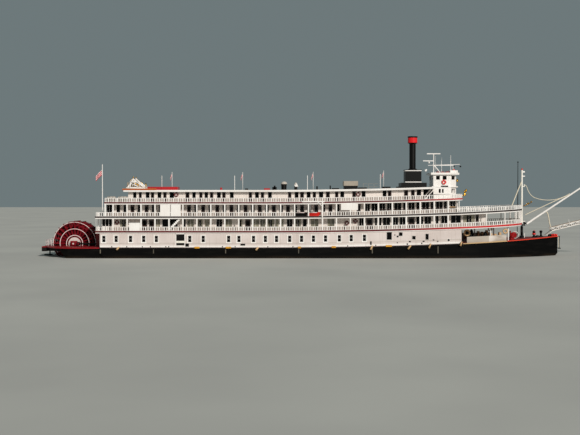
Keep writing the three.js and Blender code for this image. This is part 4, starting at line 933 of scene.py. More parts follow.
def tier_openings(tier, wall, floor, sill, head, curtains, dark, doors, grow=0):
    """All the openings of one tier, on both sides."""
    for word, side in SIDES.items():
        frames, nets, glazing, leaves = (bmesh.new() for _ in range(4))
        rows = ((curtains, nets, sill), (dark, glazing, sill), (doors, leaves, DOOR_SILL))
        for places, panes, bottom in rows:
            for x, width in places:
                z = floor + sheer(MM * x)
                wide = MM * (width + grow)
                opening(frames, panes, side, wall, MM * x, wide, z + bottom, z + head, 0.004, 0.004)
        for x, width in (*curtains, *dark):
            z = floor + sheer(MM * x)
            if width > 70:
                middle = (MM * x, side * (wall + 0.0025), z + (sill + head) / 2)
                low = (middle[0] - 0.0015, side * wall, z + sill)
                block(frames, low, (middle[0] + 0.0015, side * (wall + 0.0045), z + head))
        for x, width in curtains[::3]:
            z, half = floor + sheer(MM * x), MM * width * 0.2
            low = (MM * x - half, side * wall, z + sill)
            block(glazing, low, (MM * x + half, side * (wall + 0.0035), z + head - 0.012))
        for x, width in doors:
            z = floor + sheer(MM * x) + (DOOR_SILL + head) / 2 + 0.02
            half = MM * width * 0.32
            low = (MM * x - half, side * (wall + 0.002), z - 0.025)
            block(glazing, low, (MM * x + half, side * (wall + 0.0032), z + 0.045))
        piece(f"{tier}_opening_frames_{word}", frames, white)
        if curtains:
            piece(f"{tier}_curtained_panes_{word}", nets, curtained)
        piece(f"{tier}_dark_panes_{word}", glazing, glass_dark)
        piece(f"{tier}_doors_{word}", leaves, mahogany)


tier_openings("cabin", CABIN_WALL, CABIN, CABIN_SILL, CABIN_HEAD, CABIN_CURTAINED, CABIN_DARK, CABIN_DOORS)

# %% Texas deck openings: a door and a window for each stateroom, then the lounge's wide windows
PANEL_GAPS = ((-2110, -1750), (810, 1110))
LOUNGE_STARTS = 1190


def clear_of(gaps, x):
    """True where no white panel or gap stands at x."""
    return all(not low < x < high for low, high in gaps)


STATEROOM = 231
texas_doors = [(x, 62) for x in range(-2574, LOUNGE_STARTS, STATEROOM) if clear_of(PANEL_GAPS, x)]
texas_windows = [(x, 58) for x in range(-2457, LOUNGE_STARTS, STATEROOM) if clear_of(PANEL_GAPS, x)]
texas_windows += [(-2805, 56), (-2688, 56), (-2950, 84)]
TEXAS_LOUNGE = (
    (1262, 84), (1383, 96), (1510, 88), (1627, 78), (1760, 112), (1880, 62), (1985, 96), (2100, 66),
    (2215, 112), (2330, 60), (2440, 104), (2556, 78), (2660, 84),
)
tier_openings("texas", TEXAS_WALL, TEXAS, 0.070, 0.194, (), (*texas_windows, *TEXAS_LOUNGE), texas_doors)

# %% Grab rail along the lounge, and the bright forward window
bm = bmesh.new()
for side in SIDES.values():
    path = [Vector((x, side * (TEXAS_WALL + 0.006), 0)) for x in (1.440, 1.840, 2.300, 2.710)]
    ribbon(bm, path, TEXAS, 0.086, 0.095, 0.004)
piece("lounge_grab_rail", bm, mahogany)
bm = bmesh.new()
for side in SIDES.values():
    faces = sorted((side * (TEXAS_WALL + 0.002), side * (TEXAS_WALL + 0.007)))
    block(bm, (2.612, faces[0], 1.024), (2.702, faces[1], 1.044))
piece("lounge_sill_board", bm, tan)

# %% Sun deck openings
SUN_WINDOWS = (
    (-2548, 42), (-2337, 50), (-2143, 48), (-1940, 59), (-1576, 43), (-1374, 44), (-1167, 50), (-956, 50),
    (-542, 50), (-330, 50), (108, 50), (306, 52), (510, 58), (858, 52), (1208, 52), (1553, 52), (2116, 60),
)
SUN_DOORS = (
    (-2458, 36), (-2257, 44), (-2053, 42), (-1683, 52), (-1463, 41), (-1287, 44), (-1085, 44), (-650, 44),
    (-452, 43), (-5, 43), (197, 52), (400, 43), (622, 52), (767, 44), (1053, 50), (1636, 49), (1906, 55),
    (2017, 50),
)
tier_openings("sun", SUN_WALL, SUN, 0.062, 0.170, (), SUN_WINDOWS, SUN_DOORS, 10)

# %% [markdown]
# ## Panels, lockers and life rings along the galleries
# Between the posts stand a few solid things: white gate panels, a box over the rail near the stern, and
# life rings on the walls. A panel is a block whose edges are bevelled, because an edge that is
# perfectly sharp never catches the sun.

# %% Gate panels and the rail box
def board(bm, low, high, bevel=0.002):
    """A block with softly rounded edges."""
    verts = block(bm, low, high)
    edges = list({e for v in verts for e in v.link_edges})
    bmesh.ops.bevel(bm, geom=edges, offset=bevel, segments=2, profile=0.5, affect="EDGES", material=-1)


PANELS = (
    # X from and to, floor, bottom and top above the floor
    (-2.097, -1.936, TEXAS, 0.004, 0.200),
    (-1.928, -1.766, TEXAS, 0.004, 0.200),
    (0.823, 1.097, TEXAS, 0.098, 0.202),
    (-2.600, -2.425, CABIN, 0.004, 0.128),
)
PANEL_FACE = HALF_BEAM + 0.003
for word, side in SIDES.items():
    bm = bmesh.new()
    for x0, x1, floor, low, high in PANELS:
        z = floor + sheer((x0 + x1) / 2)
        faces = sorted((side * (PANEL_FACE - 0.005), side * PANEL_FACE))
        board(bm, (x0, faces[0], z + low), (x1, faces[1], z + high))
    x0, x1, floor, _, high = PANELS[-1]
    ledge = sorted((side * (PANEL_FACE - 0.060), side * (PANEL_FACE + 0.003)))
    board(bm, (x0 - 0.006, ledge[0], floor + high), (x1 + 0.006, ledge[1], floor + high + 0.012))
    piece(f"gate_panels_{word}", bm, white)

# %% Life rings
GALLERY_RINGS = (
    # X, z, Y of the wall behind
    (-2.828, 0.787, CABIN_WALL), (0.928, 0.775, CABIN_WALL), (1.067, 0.805, CABIN_WALL),
    (-1.867, 1.240, SUN_WALL), (1.123, 1.246, SUN_WALL),
)
PILOT_RING = ((2.580, 1.452, 0.250),)
# Painted shade: the gallery rings are a darkened red, the pilothouse ring a bright orange-red.
for word, places, radius, thick, paint in (
    ("gallery", GALLERY_RINGS, 0.027, 0.011, ring_red_painted_shade),
    ("pilothouse", PILOT_RING, 0.028, 0.013, orange),
):
    rings, ties = bmesh.new(), bmesh.new()
    for place in [Vector((x, side * (wall + 0.012), z)) for x, z, wall in places for side in SIDES.values()]:
        ring(rings, place, radius, thick)
        for angle in (math.pi / 4 + turn * math.pi / 2 for turn in range(4)):
            where = place + Vector((math.cos(angle), 0, math.sin(angle))) * radius
            along = Vector((-math.sin(angle), 0, math.cos(angle))) * 0.0018
            rod(ties, where - along, where + along, thick + 0.0006, sides=12)
    piece(f"{word}_life_rings", rings, paint, smooth=True)
    piece(f"{word}_life_ring_bands", ties, white, smooth=True)

# %% Raft canisters at the aft rail
bm, straps = bmesh.new(), bmesh.new()
CAPSULE = [
    (0, 0.0), (0.034, 0.004), (0.048, 0.016), (0.050, 0.075),
    (0.050, 0.134), (0.034, 0.146), (0, 0.150),
]
for side in SIDES.values():
    for x in (-2.975, -2.800):
        spun(bm, CAPSULE, (x, side * 0.800, SUN + 0.051), (1, 0, 0), 24)
        for along in (0.045, 0.105):
            ring(straps, (x + along, side * 0.800, SUN + 0.051), 0.050, 0.0025, (1, 0, 0), 24, 6)
piece("raft_canisters", bm, rail_grey, smooth=True)
piece("raft_straps", straps, black)

# %% Glazed screen at the cabin's aft end
bm, panes = bmesh.new(), bmesh.new()
SCREEN_AFT, SCREEN_FORWARD = -3.075, -2.905
for side in SIDES.values():
    near, far = sorted((side * (CABIN_WALL - 0.004), side * (CABIN_WALL + 0.004)))
    block(panes, (SCREEN_AFT, near, CABIN + 0.082), (SCREEN_FORWARD, far, CABIN + 0.200))
    near, far = sorted((side * (CABIN_WALL - 0.006), side * (CABIN_WALL + 0.006)))
    for x in (SCREEN_AFT, -3.020, -2.965, SCREEN_FORWARD - 0.007):
        block(bm, (x, near, CABIN), (x + 0.007, far, TEXAS - SLAB))
    block(bm, (SCREEN_AFT, near, CABIN), (-2.985, far, CABIN + 0.080))
piece("cabin_aft_screen", bm, white)
piece("cabin_aft_screen_panes", panes, glass_dark)

# %% [markdown]
# ## The paddle wheel
# The frames are edged with bleached white rings, and a pale plate covers the hub. Four more frames of arms
# stand inside the wheel, so that hardly any sky shows through it. All of it turns with the wheel.

# %% Wheel rings and hub plates
WHEEL = Vector((-3.618, 0, 0.423))
WHEEL_FACE = 0.2455
rings, plates, hubs = bmesh.new(), bmesh.new(), bmesh.new()
for side in SIDES.values():
    centre = WHEEL + Vector((0, side * WHEEL_FACE, 0))
    for inner, outer in ((0.352, 0.361), (0.239, 0.249), (0.131, 0.142)):
        spun(rings, [(inner, 0), (outer, 0), (outer, 0.003), (inner, 0.003)], centre, (0, side, 0), 72, True)
    spun(plates, [(0.026, 0), (0.103, 0), (0.103, 0.003), (0.026, 0.003)], centre, (0, side, 0), 48, True)
    near, far = sorted((centre.y, centre.y + side * 0.010))
    block(hubs, (WHEEL.x - 0.036, near, WHEEL.z - 0.036), (WHEEL.x + 0.036, far, WHEEL.z + 0.036))
    shaft_end = (WHEEL.x, side * 0.358, WHEEL.z)
    spun(plates, [(0, 0.002), (0.014, 0.002), (0.014, 0), (0, 0)], shaft_end, (0, side, 0))
piece("wheel_rings", rings, rim_pink, "paddle_wheel")
piece("wheel_hub_plates", plates, wall_white, "paddle_wheel")
piece("wheel_hub_squares", hubs, wheel_red, "paddle_wheel")

# %% Inner frames of the wheel
WHEEL_ARMS = 24
bm = bmesh.new()
for shift, y in ((0.0, -0.180), (0.25, -0.060), (0.5, 0.060), (0.75, 0.180)):
    at = Matrix.Translation(WHEEL + Vector((0, y, 0)))
    for turn in range(WHEEL_ARMS):
        spin = Matrix.Rotation(math.tau * (turn + shift) / WHEEL_ARMS, 4, "Y")
        arm = Matrix.Translation((0.195, 0, 0)) @ Matrix.Diagonal((0.320, 0.012, 0.022, 1))
        bmesh.ops.create_cube(bm, size=1, matrix=at @ spin @ arm)
    for inner, outer in ((0.340, 0.362), (0.286, 0.306), (0.226, 0.254)):
        profile = [(inner, 0), (outer, 0), (outer, 0.010), (inner, 0.010)]
        spun(bm, profile, WHEEL + Vector((0, y - 0.005, 0)), (0, 1, 0), 48, True)
piece("wheel_inner_frames", bm, wheel_red, "paddle_wheel")

# %% Bulkheads beside the wheel, and the rail round the fantail
bm = bmesh.new()
for side in SIDES.values():
    faces = sorted((side * 0.405, side * 0.425))
    block(bm, (-3.222, faces[0], MAIN), (-3.078, faces[1], 0.606))
piece("wheel_bulkheads", bm, deck_red)
bm = bmesh.new()
HALF_ROUND = [(-3.990, 0.300), (-4.060, 0.255), (-4.118, 0.150), (-4.126, 0.0)]
RAIL_ROUND = [Vector((x, -y, MAIN)) for x, y in HALF_ROUND]
RAIL_ROUND += [Vector((x, y, MAIN)) for x, y in HALF_ROUND[-2::-1]]
for a, b in zip(RAIL_ROUND, RAIL_ROUND[1:]):
    for lift in (0.050, 0.098):
        rod(bm, a + Vector((0, 0, lift)), b + Vector((0, 0, lift)), 0.004, sides=6)
for point in RAIL_ROUND:
    rod(bm, point, point + Vector((0, 0, 0.100)), 0.005, sides=6)
piece("fantail_rail", bm, rim_pink)

# %% [markdown]
# ## The boats and their davit
# Two small boats sit in the launch gap of the texas rail, a dark workboat and an orange rescue boat,
# under one white davit beam with two falls.

# %% Davit
DAVIT_Y = -(HALF_BEAM + 0.008)
DAVIT_TOP = 1.136
bm = bmesh.new()
board(bm, (0.190, DAVIT_Y - 0.008, DAVIT_TOP - 0.020), (0.560, DAVIT_Y + 0.008, DAVIT_TOP), 0.003)
board(bm, (0.512, DAVIT_Y - 0.008, TEXAS - 0.010), (0.532, DAVIT_Y + 0.008, DAVIT_TOP - 0.018), 0.003)
board(bm, (0.512, DAVIT_Y - 0.004, TEXAS - 0.014), (0.532, -HALF_BEAM + 0.004, TEXAS + 0.012))
rod(bm, (0.520, DAVIT_Y, 1.050), (0.440, DAVIT_Y, DAVIT_TOP - 0.012), 0.005)
for x in (0.330, 0.470):
    rod(bm, (x, DAVIT_Y, DAVIT_TOP - 0.018), (x, -0.862, 0.960), 0.0018, sides=6)
piece("boat_davit", bm, white)

# %% Fittings of the two boats
bm = bmesh.new()
for node in ("workboat", "rescue_boat"):
    low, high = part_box(node)
    middle = (low + high) / 2
    board(bm, (low.x + 0.03, low.y + 0.02, high.z - 0.004), (low.x + 0.07, high.y - 0.02, high.z + 0.010))
    corner = (middle.x + 0.035, middle.y + 0.022, high.z + 0.035)
    board(bm, (middle.x, middle.y - 0.022, high.z - 0.004), corner)
    rod(bm, (middle.x - 0.02, middle.y, high.z), (middle.x - 0.02, middle.y, high.z + 0.06), 0.003)
piece("boat_fittings", bm, black)
bm = bmesh.new()
for node in ("workboat", "rescue_boat"):
    low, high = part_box(node)
    for y in (low.y + 0.004, high.y - 0.004):
        rod(bm, (low.x + 0.03, y, high.z - 0.006), (high.x - 0.06, y, high.z - 0.006), 0.006)
piece("boat_fenders", bm, rim_pink, smooth=True)

# %% [markdown]
# ## On the roof
# The roof carries what a big boat puts out of sight: a red skylight, domes, boxes and aerials.
# The aft end has an orange-brown coaming round the calliope.

# %% Coaming and red boxes
ROOF_HALF = 0.700
coaming_paint = banded("orange_brown_coaming", ("#a8481c", [(ROOF + 0.012, "#c4722c")]), 0.5)
bm = bmesh.new()
for side in SIDES.values():
    faces = sorted((side * (ROOF_HALF - 0.010), side * (ROOF_HALF + 0.002)))
    board(bm, (-2.738, faces[0], ROOF - 0.004), (-2.184, faces[1], ROOF + 0.022))
board(bm, (-2.738, -ROOF_HALF, ROOF - 0.004), (-2.726, ROOF_HALF, ROOF + 0.022))
piece("calliope_coaming", bm, coaming_paint)

skylight_red = enamel("skylight_red_gloss", "#b8141c", "#a01018", "#5c0c10", 0.35)
bm = bmesh.new()
board(bm, (-2.410, -0.16, ROOF), (-1.895, 0.16, ROOF + 0.058), 0.006)
board(bm, (-0.440, -0.10, ROOF), (-0.340, 0.06, ROOF + 0.034), 0.004)
spun(bm, [(0, 0.050), (0.012, 0.046), (0.020, 0.030), (0.020, 0)], (-1.172, 0, ROOF))
piece("roof_red_boxes", bm, skylight_red)

# %% Domes and vents
bm = bmesh.new()
DOME = [(0, 0.048), (0.026, 0.044), (0.046, 0.028), (0.054, 0.006), (0.050, 0.0), (0, 0.0)]
spun(bm, DOME, (-0.100, 0, ROOF + 0.104))
SMALL_DOME = [(0, 0.060), (0.012, 0.054), (0.026, 0.030), (0.028, 0.010), (0, 0.0)]
spun(bm, SMALL_DOME, (0.098, -0.220, ROOF + 0.072))
piece("roof_domes", bm, rail_grey, smooth=True)

bm = bmesh.new()
spun(bm, [(0, 0.106), (0.050, 0.106), (0.046, 0.060), (0.044, 0.0)], (-0.104, 0, ROOF), steps=16)
spun(bm, [(0, 0.074), (0.024, 0.074), (0.028, 0.0)], (0.098, -0.220, ROOF), steps=16)
ROOF_LUMPS = (
    # X from and to, height
    (-0.300, -0.225, 0.055), (-0.275, -0.245, 0.078), (0.445, 0.470, 0.062), (0.672, 0.692, 0.072),
    (0.710, 0.830, 0.026), (1.155, 1.300, 0.030), (1.560, 1.700, 0.034), (1.800, 1.880, 0.028),
    (-1.990, -1.940, 0.040), (-0.760, -0.710, 0.030),
)
for x0, x1, high in ROOF_LUMPS:
    z = ROOF + sheer((x0 + x1) / 2)
    board(bm, (x0, -0.12, z - 0.004), (x1, -0.04, z + high))
piece("roof_vents", bm, black)

# %% Boxes and steps
bm = bmesh.new()
board(bm, (0.905, -0.142, ROOF + sheer(1.03) + 0.060), (1.150, 0.142, ROOF + sheer(1.03) + 0.142), 0.006)
for x in (1.240, 1.330, 1.420):
    for z in (0.05, 0.10):
        rod(bm, (x, -0.1, ROOF + z + 0.01), (x + 0.07, -0.1, ROOF + z + 0.01), 0.002, sides=6)
    rod(bm, (x, -0.1, ROOF), (x, -0.1, ROOF + 0.115), 0.0025, sides=6)
rod(bm, (-2.705, -0.42, ROOF), (-2.690, -0.42, ROOF + 0.130), 0.013)
box_beige = enamel("sun_bleached_board", "#a79d90", "#93897b", "#5f574c", 0.8)
piece("roof_boxes", bm, box_beige)
bm = bmesh.new()
board(bm, (0.916, -0.134, ROOF + sheer(1.03) - 0.02), (1.144, 0.134, ROOF + sheer(1.03) + 0.062), 0.002)
piece("plant_box_base", bm, black)

# %% [markdown]
# ## The calliope
# A steam organ: whistles of brass in a white gabled stand with gilded edges.

# %% Calliope trim
low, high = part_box("calliope")
PEAK_X = -2.581
bm, gilt = bmesh.new(), bmesh.new()
for y in (low.y - 0.004, high.y + 0.004):
    base, top = low.z + 0.036, high.z
    for (x0, z0), (x1, z1) in (
        ((low.x, base), (PEAK_X, top)),
        ((PEAK_X, top), (high.x, base)),
        ((low.x, base), (high.x, base)),
        ((-2.640, base + 0.10), (-2.525, base + 0.10)),
    ):
        rod(gilt, (x0, y, z0), (x1, y, z1), 0.0025, sides=6)
    spun(gilt, [(0, 0.034), (0.008, 0.024), (0.010, 0.012), (0.004, 0.0)], (PEAK_X, y, top - 0.012), steps=12)
    for i in range(5):
        x = -2.520 + 0.024 * i
        rod(bm, (x, y * 0.995, base + 0.004), (x, y * 0.995, base + 0.092 - 0.016 * i), 0.006, sides=8)
for i in range(9):
    x = -2.668 + 0.034 * i
    height = 0.06 + 0.05 * math.cos(i - 3)
    rod(bm, (x, -0.40, low.z + 0.030), (x, -0.40, low.z + 0.045 + height), 0.009, sides=10)
piece("calliope_whistles", bm, brass, smooth=True)
piece("calliope_gilding", gilt, brass, smooth=True)
bm = bmesh.new()
for side in (low.y - 0.008, high.y + 0.008):
    for (x0, z0), (x1, z1), thick in (
        ((-2.640, 1.450), (-2.520, 1.450), 0.012),
        ((-2.525, 1.448), (-2.400, 1.360), 0.013),
        ((-2.628, 1.440), (-2.634, 1.352), 0.011),
        ((-2.595, 1.410), (-2.500, 1.372), 0.008),
        ((-2.700, 1.350), (-2.400, 1.350), 0.008),
    ):
        rod(bm, (x0, side, z0), (x1, side, z1), thick, sides=10)
    for i in range(6):
        spun(bm, [(0, 0.012), (0.010, 0.008), (0.012, 0.0)], (-2.690 + 0.056 * i, side, 1.352), steps=10)
piece("calliope_scrolls", bm, white, smooth=True)

# %% [markdown]
# ## The foredeck
# This is the working end of the boat: hoses, a winch and crates behind the bulwarks, then the reel,
# the capstans, the chock and the anchor chain out in the open.

# %% Behind the bulwarks
FORE_Y = 0.62
HOSE_DISC = [(0, 0.006), (0.030, 0.006), (0.030, -0.006), (0, -0.006)]
WINCH = [(0, 0.150), (0.012, 0.146), (0.034, 0.104), (0.034, 0.060), (0.026, 0.0)]
dark, pale, brown = (bmesh.new() for _ in range(3))
for side in SIDES.values():
    ring(pale, (2.905, side * (FORE_Y + 0.01), 0.612), 0.043, 0.015)
    spun(dark, HOSE_DISC, (2.905, side * FORE_Y, 0.612), (0, 1, 0))
    ring(pale, (3.535, side * FORE_Y, 0.640), 0.032, 0.012)
    for x0, x1, z1 in ((2.950, 2.985, 0.586), (2.985, 3.040, 0.560)):
        near, far = sorted((side * 0.58, side * 0.66))
        board(dark, (x0, near, 0.470), (x1, far, z1), 0.006)
    spun(dark, WINCH, (3.204, side * FORE_Y, 0.488))
    rod(dark, (2.776, side * 0.845, 0.684), (2.812, side * 0.845, 0.470), 0.007)
    for x0, x1, z1 in ((3.290, 3.330, 0.604), (3.360, 3.400, 0.594), (3.440, 3.476, 0.620)):
        near, far = sorted((side * 0.50, side * 0.60))
        board(brown, (x0, near, 0.480), (x1, far, z1), 0.004)
piece("foredeck_hose_rings", pale, tan, smooth=True)
piece("foredeck_winch_and_gear", dark, black)
piece("foredeck_crates", brown, tan)

# %% Reel drum
bm, pale, dark = bmesh.new(), bmesh.new(), bmesh.new()
REEL = Vector((3.716, -0.442, 0.572))
for r in (0.014, 0.024, 0.034, 0.044):
    ring(bm, REEL, r, 0.0056, steps=32)
rod(bm, REEL, REEL + Vector((0, 0.050, 0)), 0.048, sides=24)
block(bm, (3.657, -0.446, 0.500), (3.666, -0.380, 0.640))
ring(pale, REEL + Vector((0.022, 0.020, 0)), 0.056, 0.004, steps=32)
piece("hose_reel_drum", bm, reel_paint, smooth=True)

# %% Kingpost foot and white fittings
KING_X = 3.949
rod(dark, (KING_X, 0, 0.502), (KING_X, 0, 0.700), 0.022, sides=20)
rod(dark, (3.868, -0.02, 0.492), (3.868, -0.02, 0.700), 0.006, sides=8)
piece("kingpost_foot_casing", dark, black, smooth=True)
rod(pale, (4.000, 0.03, 0.500), (4.000, 0.03, 0.585), 0.008, sides=8)
board(pale, (KING_X + 0.010, -0.014, 1.618), (KING_X + 0.046, 0.014, 1.644))
board(pale, (KING_X + 0.010, -0.010, 1.548), (KING_X + 0.050, 0.010, 1.566))
piece("foredeck_white_fittings", pale, white)

# %% Red lamp, capstan tops and rollers
CAPSTAN_X = 4.157
bm = bmesh.new()
rod(bm, (KING_X, 0, 1.664), (KING_X, 0, 1.688), 0.018, 0.012, 16)
CAP = [(0, 0.024), (0.012, 0.020), (0.016, 0.010), (0.012, 0.0), (0, 0)]
COLLAR = [(0.014, 0.030), (0.030, 0.024), (0.034, 0.012), (0.030, 0.002), (0.014, 0)]
spun(bm, CAP, (CAPSTAN_X + 0.006, 0, 0.612), steps=20)
spun(bm, COLLAR, (CAPSTAN_X, 0, 0.560), steps=20)
for x, radius in ((4.455, 0.014), (4.492, 0.022), (4.528, 0.018)):
    rod(bm, (x, -0.046, 0.556), (x, 0.046, 0.556), radius, sides=16)
piece("red_lamp_and_rollers", bm, orange, smooth=True)

# %% Bow chock and anchor line
bm = bmesh.new()
for y in (-0.034, 0.034):
    near, far = sorted((y, y * 0.8))
    board(bm, (4.430, near, 0.532), (4.530, far, 0.572), 0.004)
spun(bm, [(0, 0.044), (0.020, 0.036), (0.024, 0.0)], (4.416, 0, 0.530), steps=16)
spun(bm, [(0, 0.030), (0.030, 0.022), (0.034, 0.0)], (4.215, 0.0, 0.524), steps=16)
piece("bow_chock", bm, black)
fairlead = [(4.520, 0, 0.560), (4.548, 0, 0.556), (4.570, 0, 0.520), (4.576, 0, 0.440), (4.580, 0, 0.340)]
anchor_line = tube("anchor_line", rounded(fairlead), 0.006, rope)
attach(anchor_line, "root")

# %% Gilded bracket
bm = bmesh.new()
rod(bm, (KING_X + 0.012, 0, 1.045), (4.105, 0, 1.105), 0.006)
for x, z, radius in ((4.012, 1.062, 0.012), (4.058, 1.094, 0.018), (4.108, 1.120, 0.016)):
    bud = [(0, 1), (0.8, 0.5), (1, 0), (0.6, -1), (0, -1)]
    spun(bm, [(radius * r, radius * h) for r, h in bud], (x, 0, z))
piece("kingpost_gilded_bracket", bm, brass, smooth=True)

# %% Backstay, boom line and the stage's pendant
BACKSTAY = [(3.942, 0, 1.462), (3.862, -0.04, 1.290), (3.760, -0.10, 1.060)]
backstay = tube("backstay", rounded(BACKSTAY), 0.009, rope)
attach(backstay, "root")
BOOM_LINE = [(4.004, -0.022, 0.900), (4.180, -0.026, 0.984), (4.450, -0.028, 1.110), (4.735, -0.026, 1.236)]
boom_line = tube("boom_line", rounded(BOOM_LINE), 0.007, rope)
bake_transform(boom_line)
PENDANT = [(4.352, 0, 0.972), (4.388, 0, 0.922), (4.406, 0, 0.852), (4.422, 0, 0.760), (4.444, 0, 0.684)]
pendant = tube("stage_pendant", rounded(PENDANT), 0.010, rope)
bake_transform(pendant)

# %% Landing stage lattice
STAGE_FOOT, STAGE_SLOPE, STAGE_LENGTH = Vector((4.446, 0, 0.625)), math.radians(13.9), 1.370


def on_stage(along, y, up):
    """A point on the landing stage, which lies over the bow at a slope."""
    turned = Matrix.Rotation(-STAGE_SLOPE, 3, "Y") @ Vector((along, 0, up))
    return STAGE_FOOT + turned + Vector((0, y, 0))


bm = bmesh.new()
STAGE_BAYS = 24
for y in (-0.078, 0.078):
    for i in range(STAGE_BAYS):
        a, b = (STAGE_LENGTH * k / STAGE_BAYS for k in (i, i + 1))
        up = (0.008, 0.056) if i % 2 else (0.056, 0.008)
        rod(bm, on_stage(a, y, up[0]), on_stage(b, y, up[1]), 0.0045, sides=6)
rod(bm, on_stage(0.320, -0.070, 0.056), on_stage(0.320, -0.070, 0.130), 0.003, sides=6)
piece("stage_lattice", bm, white, "landing_stage")

# %% [markdown]
# ## Flags
# In the still air the flags hang down beside their staffs. A cloth simulation would fall into the same
# few folds, so they are shaped directly: a grid that waves across and drops away from the hoist.
# The stripes follow the cloth through its own UV map.

# %% Striped bunting
def striped_cloth():
    """Wool bunting in red and white stripes, with a faint weave."""
    made, tree, shader, where = start("wool_bunting", 0.9, Sheen_Weight=0.4)
    cloth_map = add(tree, "ShaderNodeTexCoord").outputs["UV"]
    across = add(tree, "ShaderNodeSeparateXYZ", {0: cloth_map}).outputs["Y"]
    count = add(tree, "ShaderNodeMath", {0: across, 1: 3.0}, operation="MULTIPLY").outputs[0]
    part = add(tree, "ShaderNodeMath", {0: count}, operation="FRACT").outputs[0]
    stripe = add(tree, "ShaderNodeMath", {0: part, 1: 0.6}, operation="GREATER_THAN").outputs[0]
    cloth = mixed(tree, stripe, srgb("#b80c26"), srgb("#f1e6e4"))
    worn = noise(tree, where, 0.02, low=0.5, high=0.8)
    tree.links.new(mixed(tree, worn, cloth, srgb("#d0485c")), shader.inputs["Base Color"])
    emboss(tree, shader, noise(tree, where, 0.002), 0.0003)
    return made


bunting = striped_cloth()
print("material:", bunting.name)

# %% Flags at the stern and on the roof
FLAG_STEPS = 24


def flag(name, hoist_top, hoist, reach, drop, fold, waves):
    """A limp flag that hangs from its hoist, toward the stern."""
    bm = bmesh.new()
    bm.loops.layers.uv.new("cloth")
    bmesh.ops.create_grid(bm, x_segments=FLAG_STEPS, y_segments=12, size=0.5, calc_uvs=True)
    for v in bm.verts:
        u, w = v.co.x + 0.5, v.co.y + 0.5
        swing = fold * math.sin(math.tau * waves * u) * (0.4 + 0.6 * u)
        v.co = Vector(hoist_top) + Vector((-reach * u, swing, -drop * u**1.2 - hoist * (1 - w)))
    obj = piece(name, bm, bunting, smooth=True)
    thick = obj.modifiers.new("cloth", "SOLIDIFY")
    thick.thickness = 0.0006
    return obj


low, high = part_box("stern_flag")
stern = flag("stern_ensign", (high.x, 0, high.z), 0.088, 0.104, 0.102, 0.011, 1.5)
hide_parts("stern_flag")
SMALL_FLAGS = (-2.072, -0.831, 0.407, 1.646)
bm = bmesh.new()
for i, x in enumerate(SMALL_FLAGS):
    z = ROOF + sheer(x)
    rod(bm, (x, 0.55, z), (x, 0.55, z + 0.315), 0.004, sides=8)
    spun(bm, [(0, 0.010), (0.005, 0.006), (0.005, 0)], (x, 0.55, z + 0.315), steps=8)
    top = (x - 0.004, 0.55, z + 0.300)
    flag(f"roof_flag_{i + 1}", top, 0.055, 0.028, 0.075, 0.008, 1.5)
piece("roof_flag_poles", bm, white, smooth=True)

# %% [markdown]
# ## Funnel and pilothouse
# The casing has two white bands, and the top of the stack a red one. The pilothouse roof carries a mast
# brace, whip aerials, a lamp and a box.

# %% Casing bands and stack rims
FUNNEL_X = 2.085
CASING_HALF = 0.135
bm = bmesh.new()
for z, thick in ((1.640, 0.018), (1.447, 0.016)):
    half = CASING_HALF + 0.003
    board(bm, (FUNNEL_X - half, -half, z), (FUNNEL_X + half, half, z + thick), 0.002)
piece("casing_bands", bm, white)
bm = bmesh.new()
ring(bm, (FUNNEL_X, 0, 1.668), 0.070, 0.010, (0, 0, 1))
ring(bm, (FUNNEL_X, 0, BAND_LOW), 0.078, 0.004, (0, 0, 1), 32)
ring(bm, (FUNNEL_X, 0, BAND_HIGH + 0.012), 0.080, 0.005, (0, 0, 1), 32)
board(bm, (FUNNEL_X - 0.143, -0.143, 1.655), (FUNNEL_X + 0.143, 0.143, 1.664), 0.002)
piece("stack_rims", bm, black, smooth=True)

# %% Pilothouse roof gear
PILOT_TOP = 1.611
bm = bmesh.new()
rod(bm, (2.444, 0, 1.750), (2.565, 0, PILOT_TOP), 0.009)
rod(bm, (2.300, 0, PILOT_TOP + 0.035), (2.330, 0, PILOT_TOP + 0.060), 0.020, 0.012, 12)
for x, y, foot, top, thick in (
    (2.484, 0.05, PILOT_TOP, 1.905, 0.003),
    (2.570, -0.08, PILOT_TOP, 1.870, 0.0025),
    (2.592, 0.10, PILOT_TOP, 1.830, 0.003),
    (2.735, 0.00, 1.741, 1.915, 0.005),
    (2.735, 0.00, PILOT_TOP, 1.741, 0.007),
):
    rod(bm, (x, y, foot), (x, y, top), thick, thick * 0.6, 8)
board(bm, (2.706, -0.13, PILOT_TOP), (2.835, 0.13, PILOT_TOP + 0.043), 0.004)
rod(bm, (2.350, 0, 1.740), (2.890, 0, 1.758), 0.005)
HORN = [(0, 0.020), (0.012, 0.014), (0.016, 0.0), (0.010, -0.014), (0, -0.018)]
spun(bm, HORN, (2.352, -0.1, 1.785), steps=12)
piece("pilothouse_roof_gear", bm, white)

# %% Lamps and lockers on the pilothouse roof
bm = bmesh.new()
spun(bm, [(0, 0.026), (0.014, 0.020), (0.018, 0.0)], (2.778, -0.06, PILOT_TOP + 0.043), steps=16)
piece("pilothouse_red_lamp", bm, orange)
bm = bmesh.new()
for x, width in ((2.470, 0.05), (2.545, 0.055), (2.625, 0.06)):
    board(bm, (x, -0.16, PILOT_TOP), (x + width, -0.08, PILOT_TOP + 0.020), 0.003)
piece("pilothouse_roof_lockers", bm, deck_red)
bm = bmesh.new()
for x, z in ((2.600, 0.030), (2.662, 0.034), (2.690, 0.030)):
    spun(bm, [(0, 0.022), (0.018, 0.016), (0.020, 0.0)], (x, -0.02, PILOT_TOP + z - 0.03), steps=16)
for x in (2.790, 2.900):
    spun(bm, [(0, 0.014), (0.014, 0.010), (0.014, -0.010), (0, -0.014)], (x, 0, 1.722), (0, 1, 0), 12)
piece("pilothouse_roof_lamps", bm, black, smooth=True)

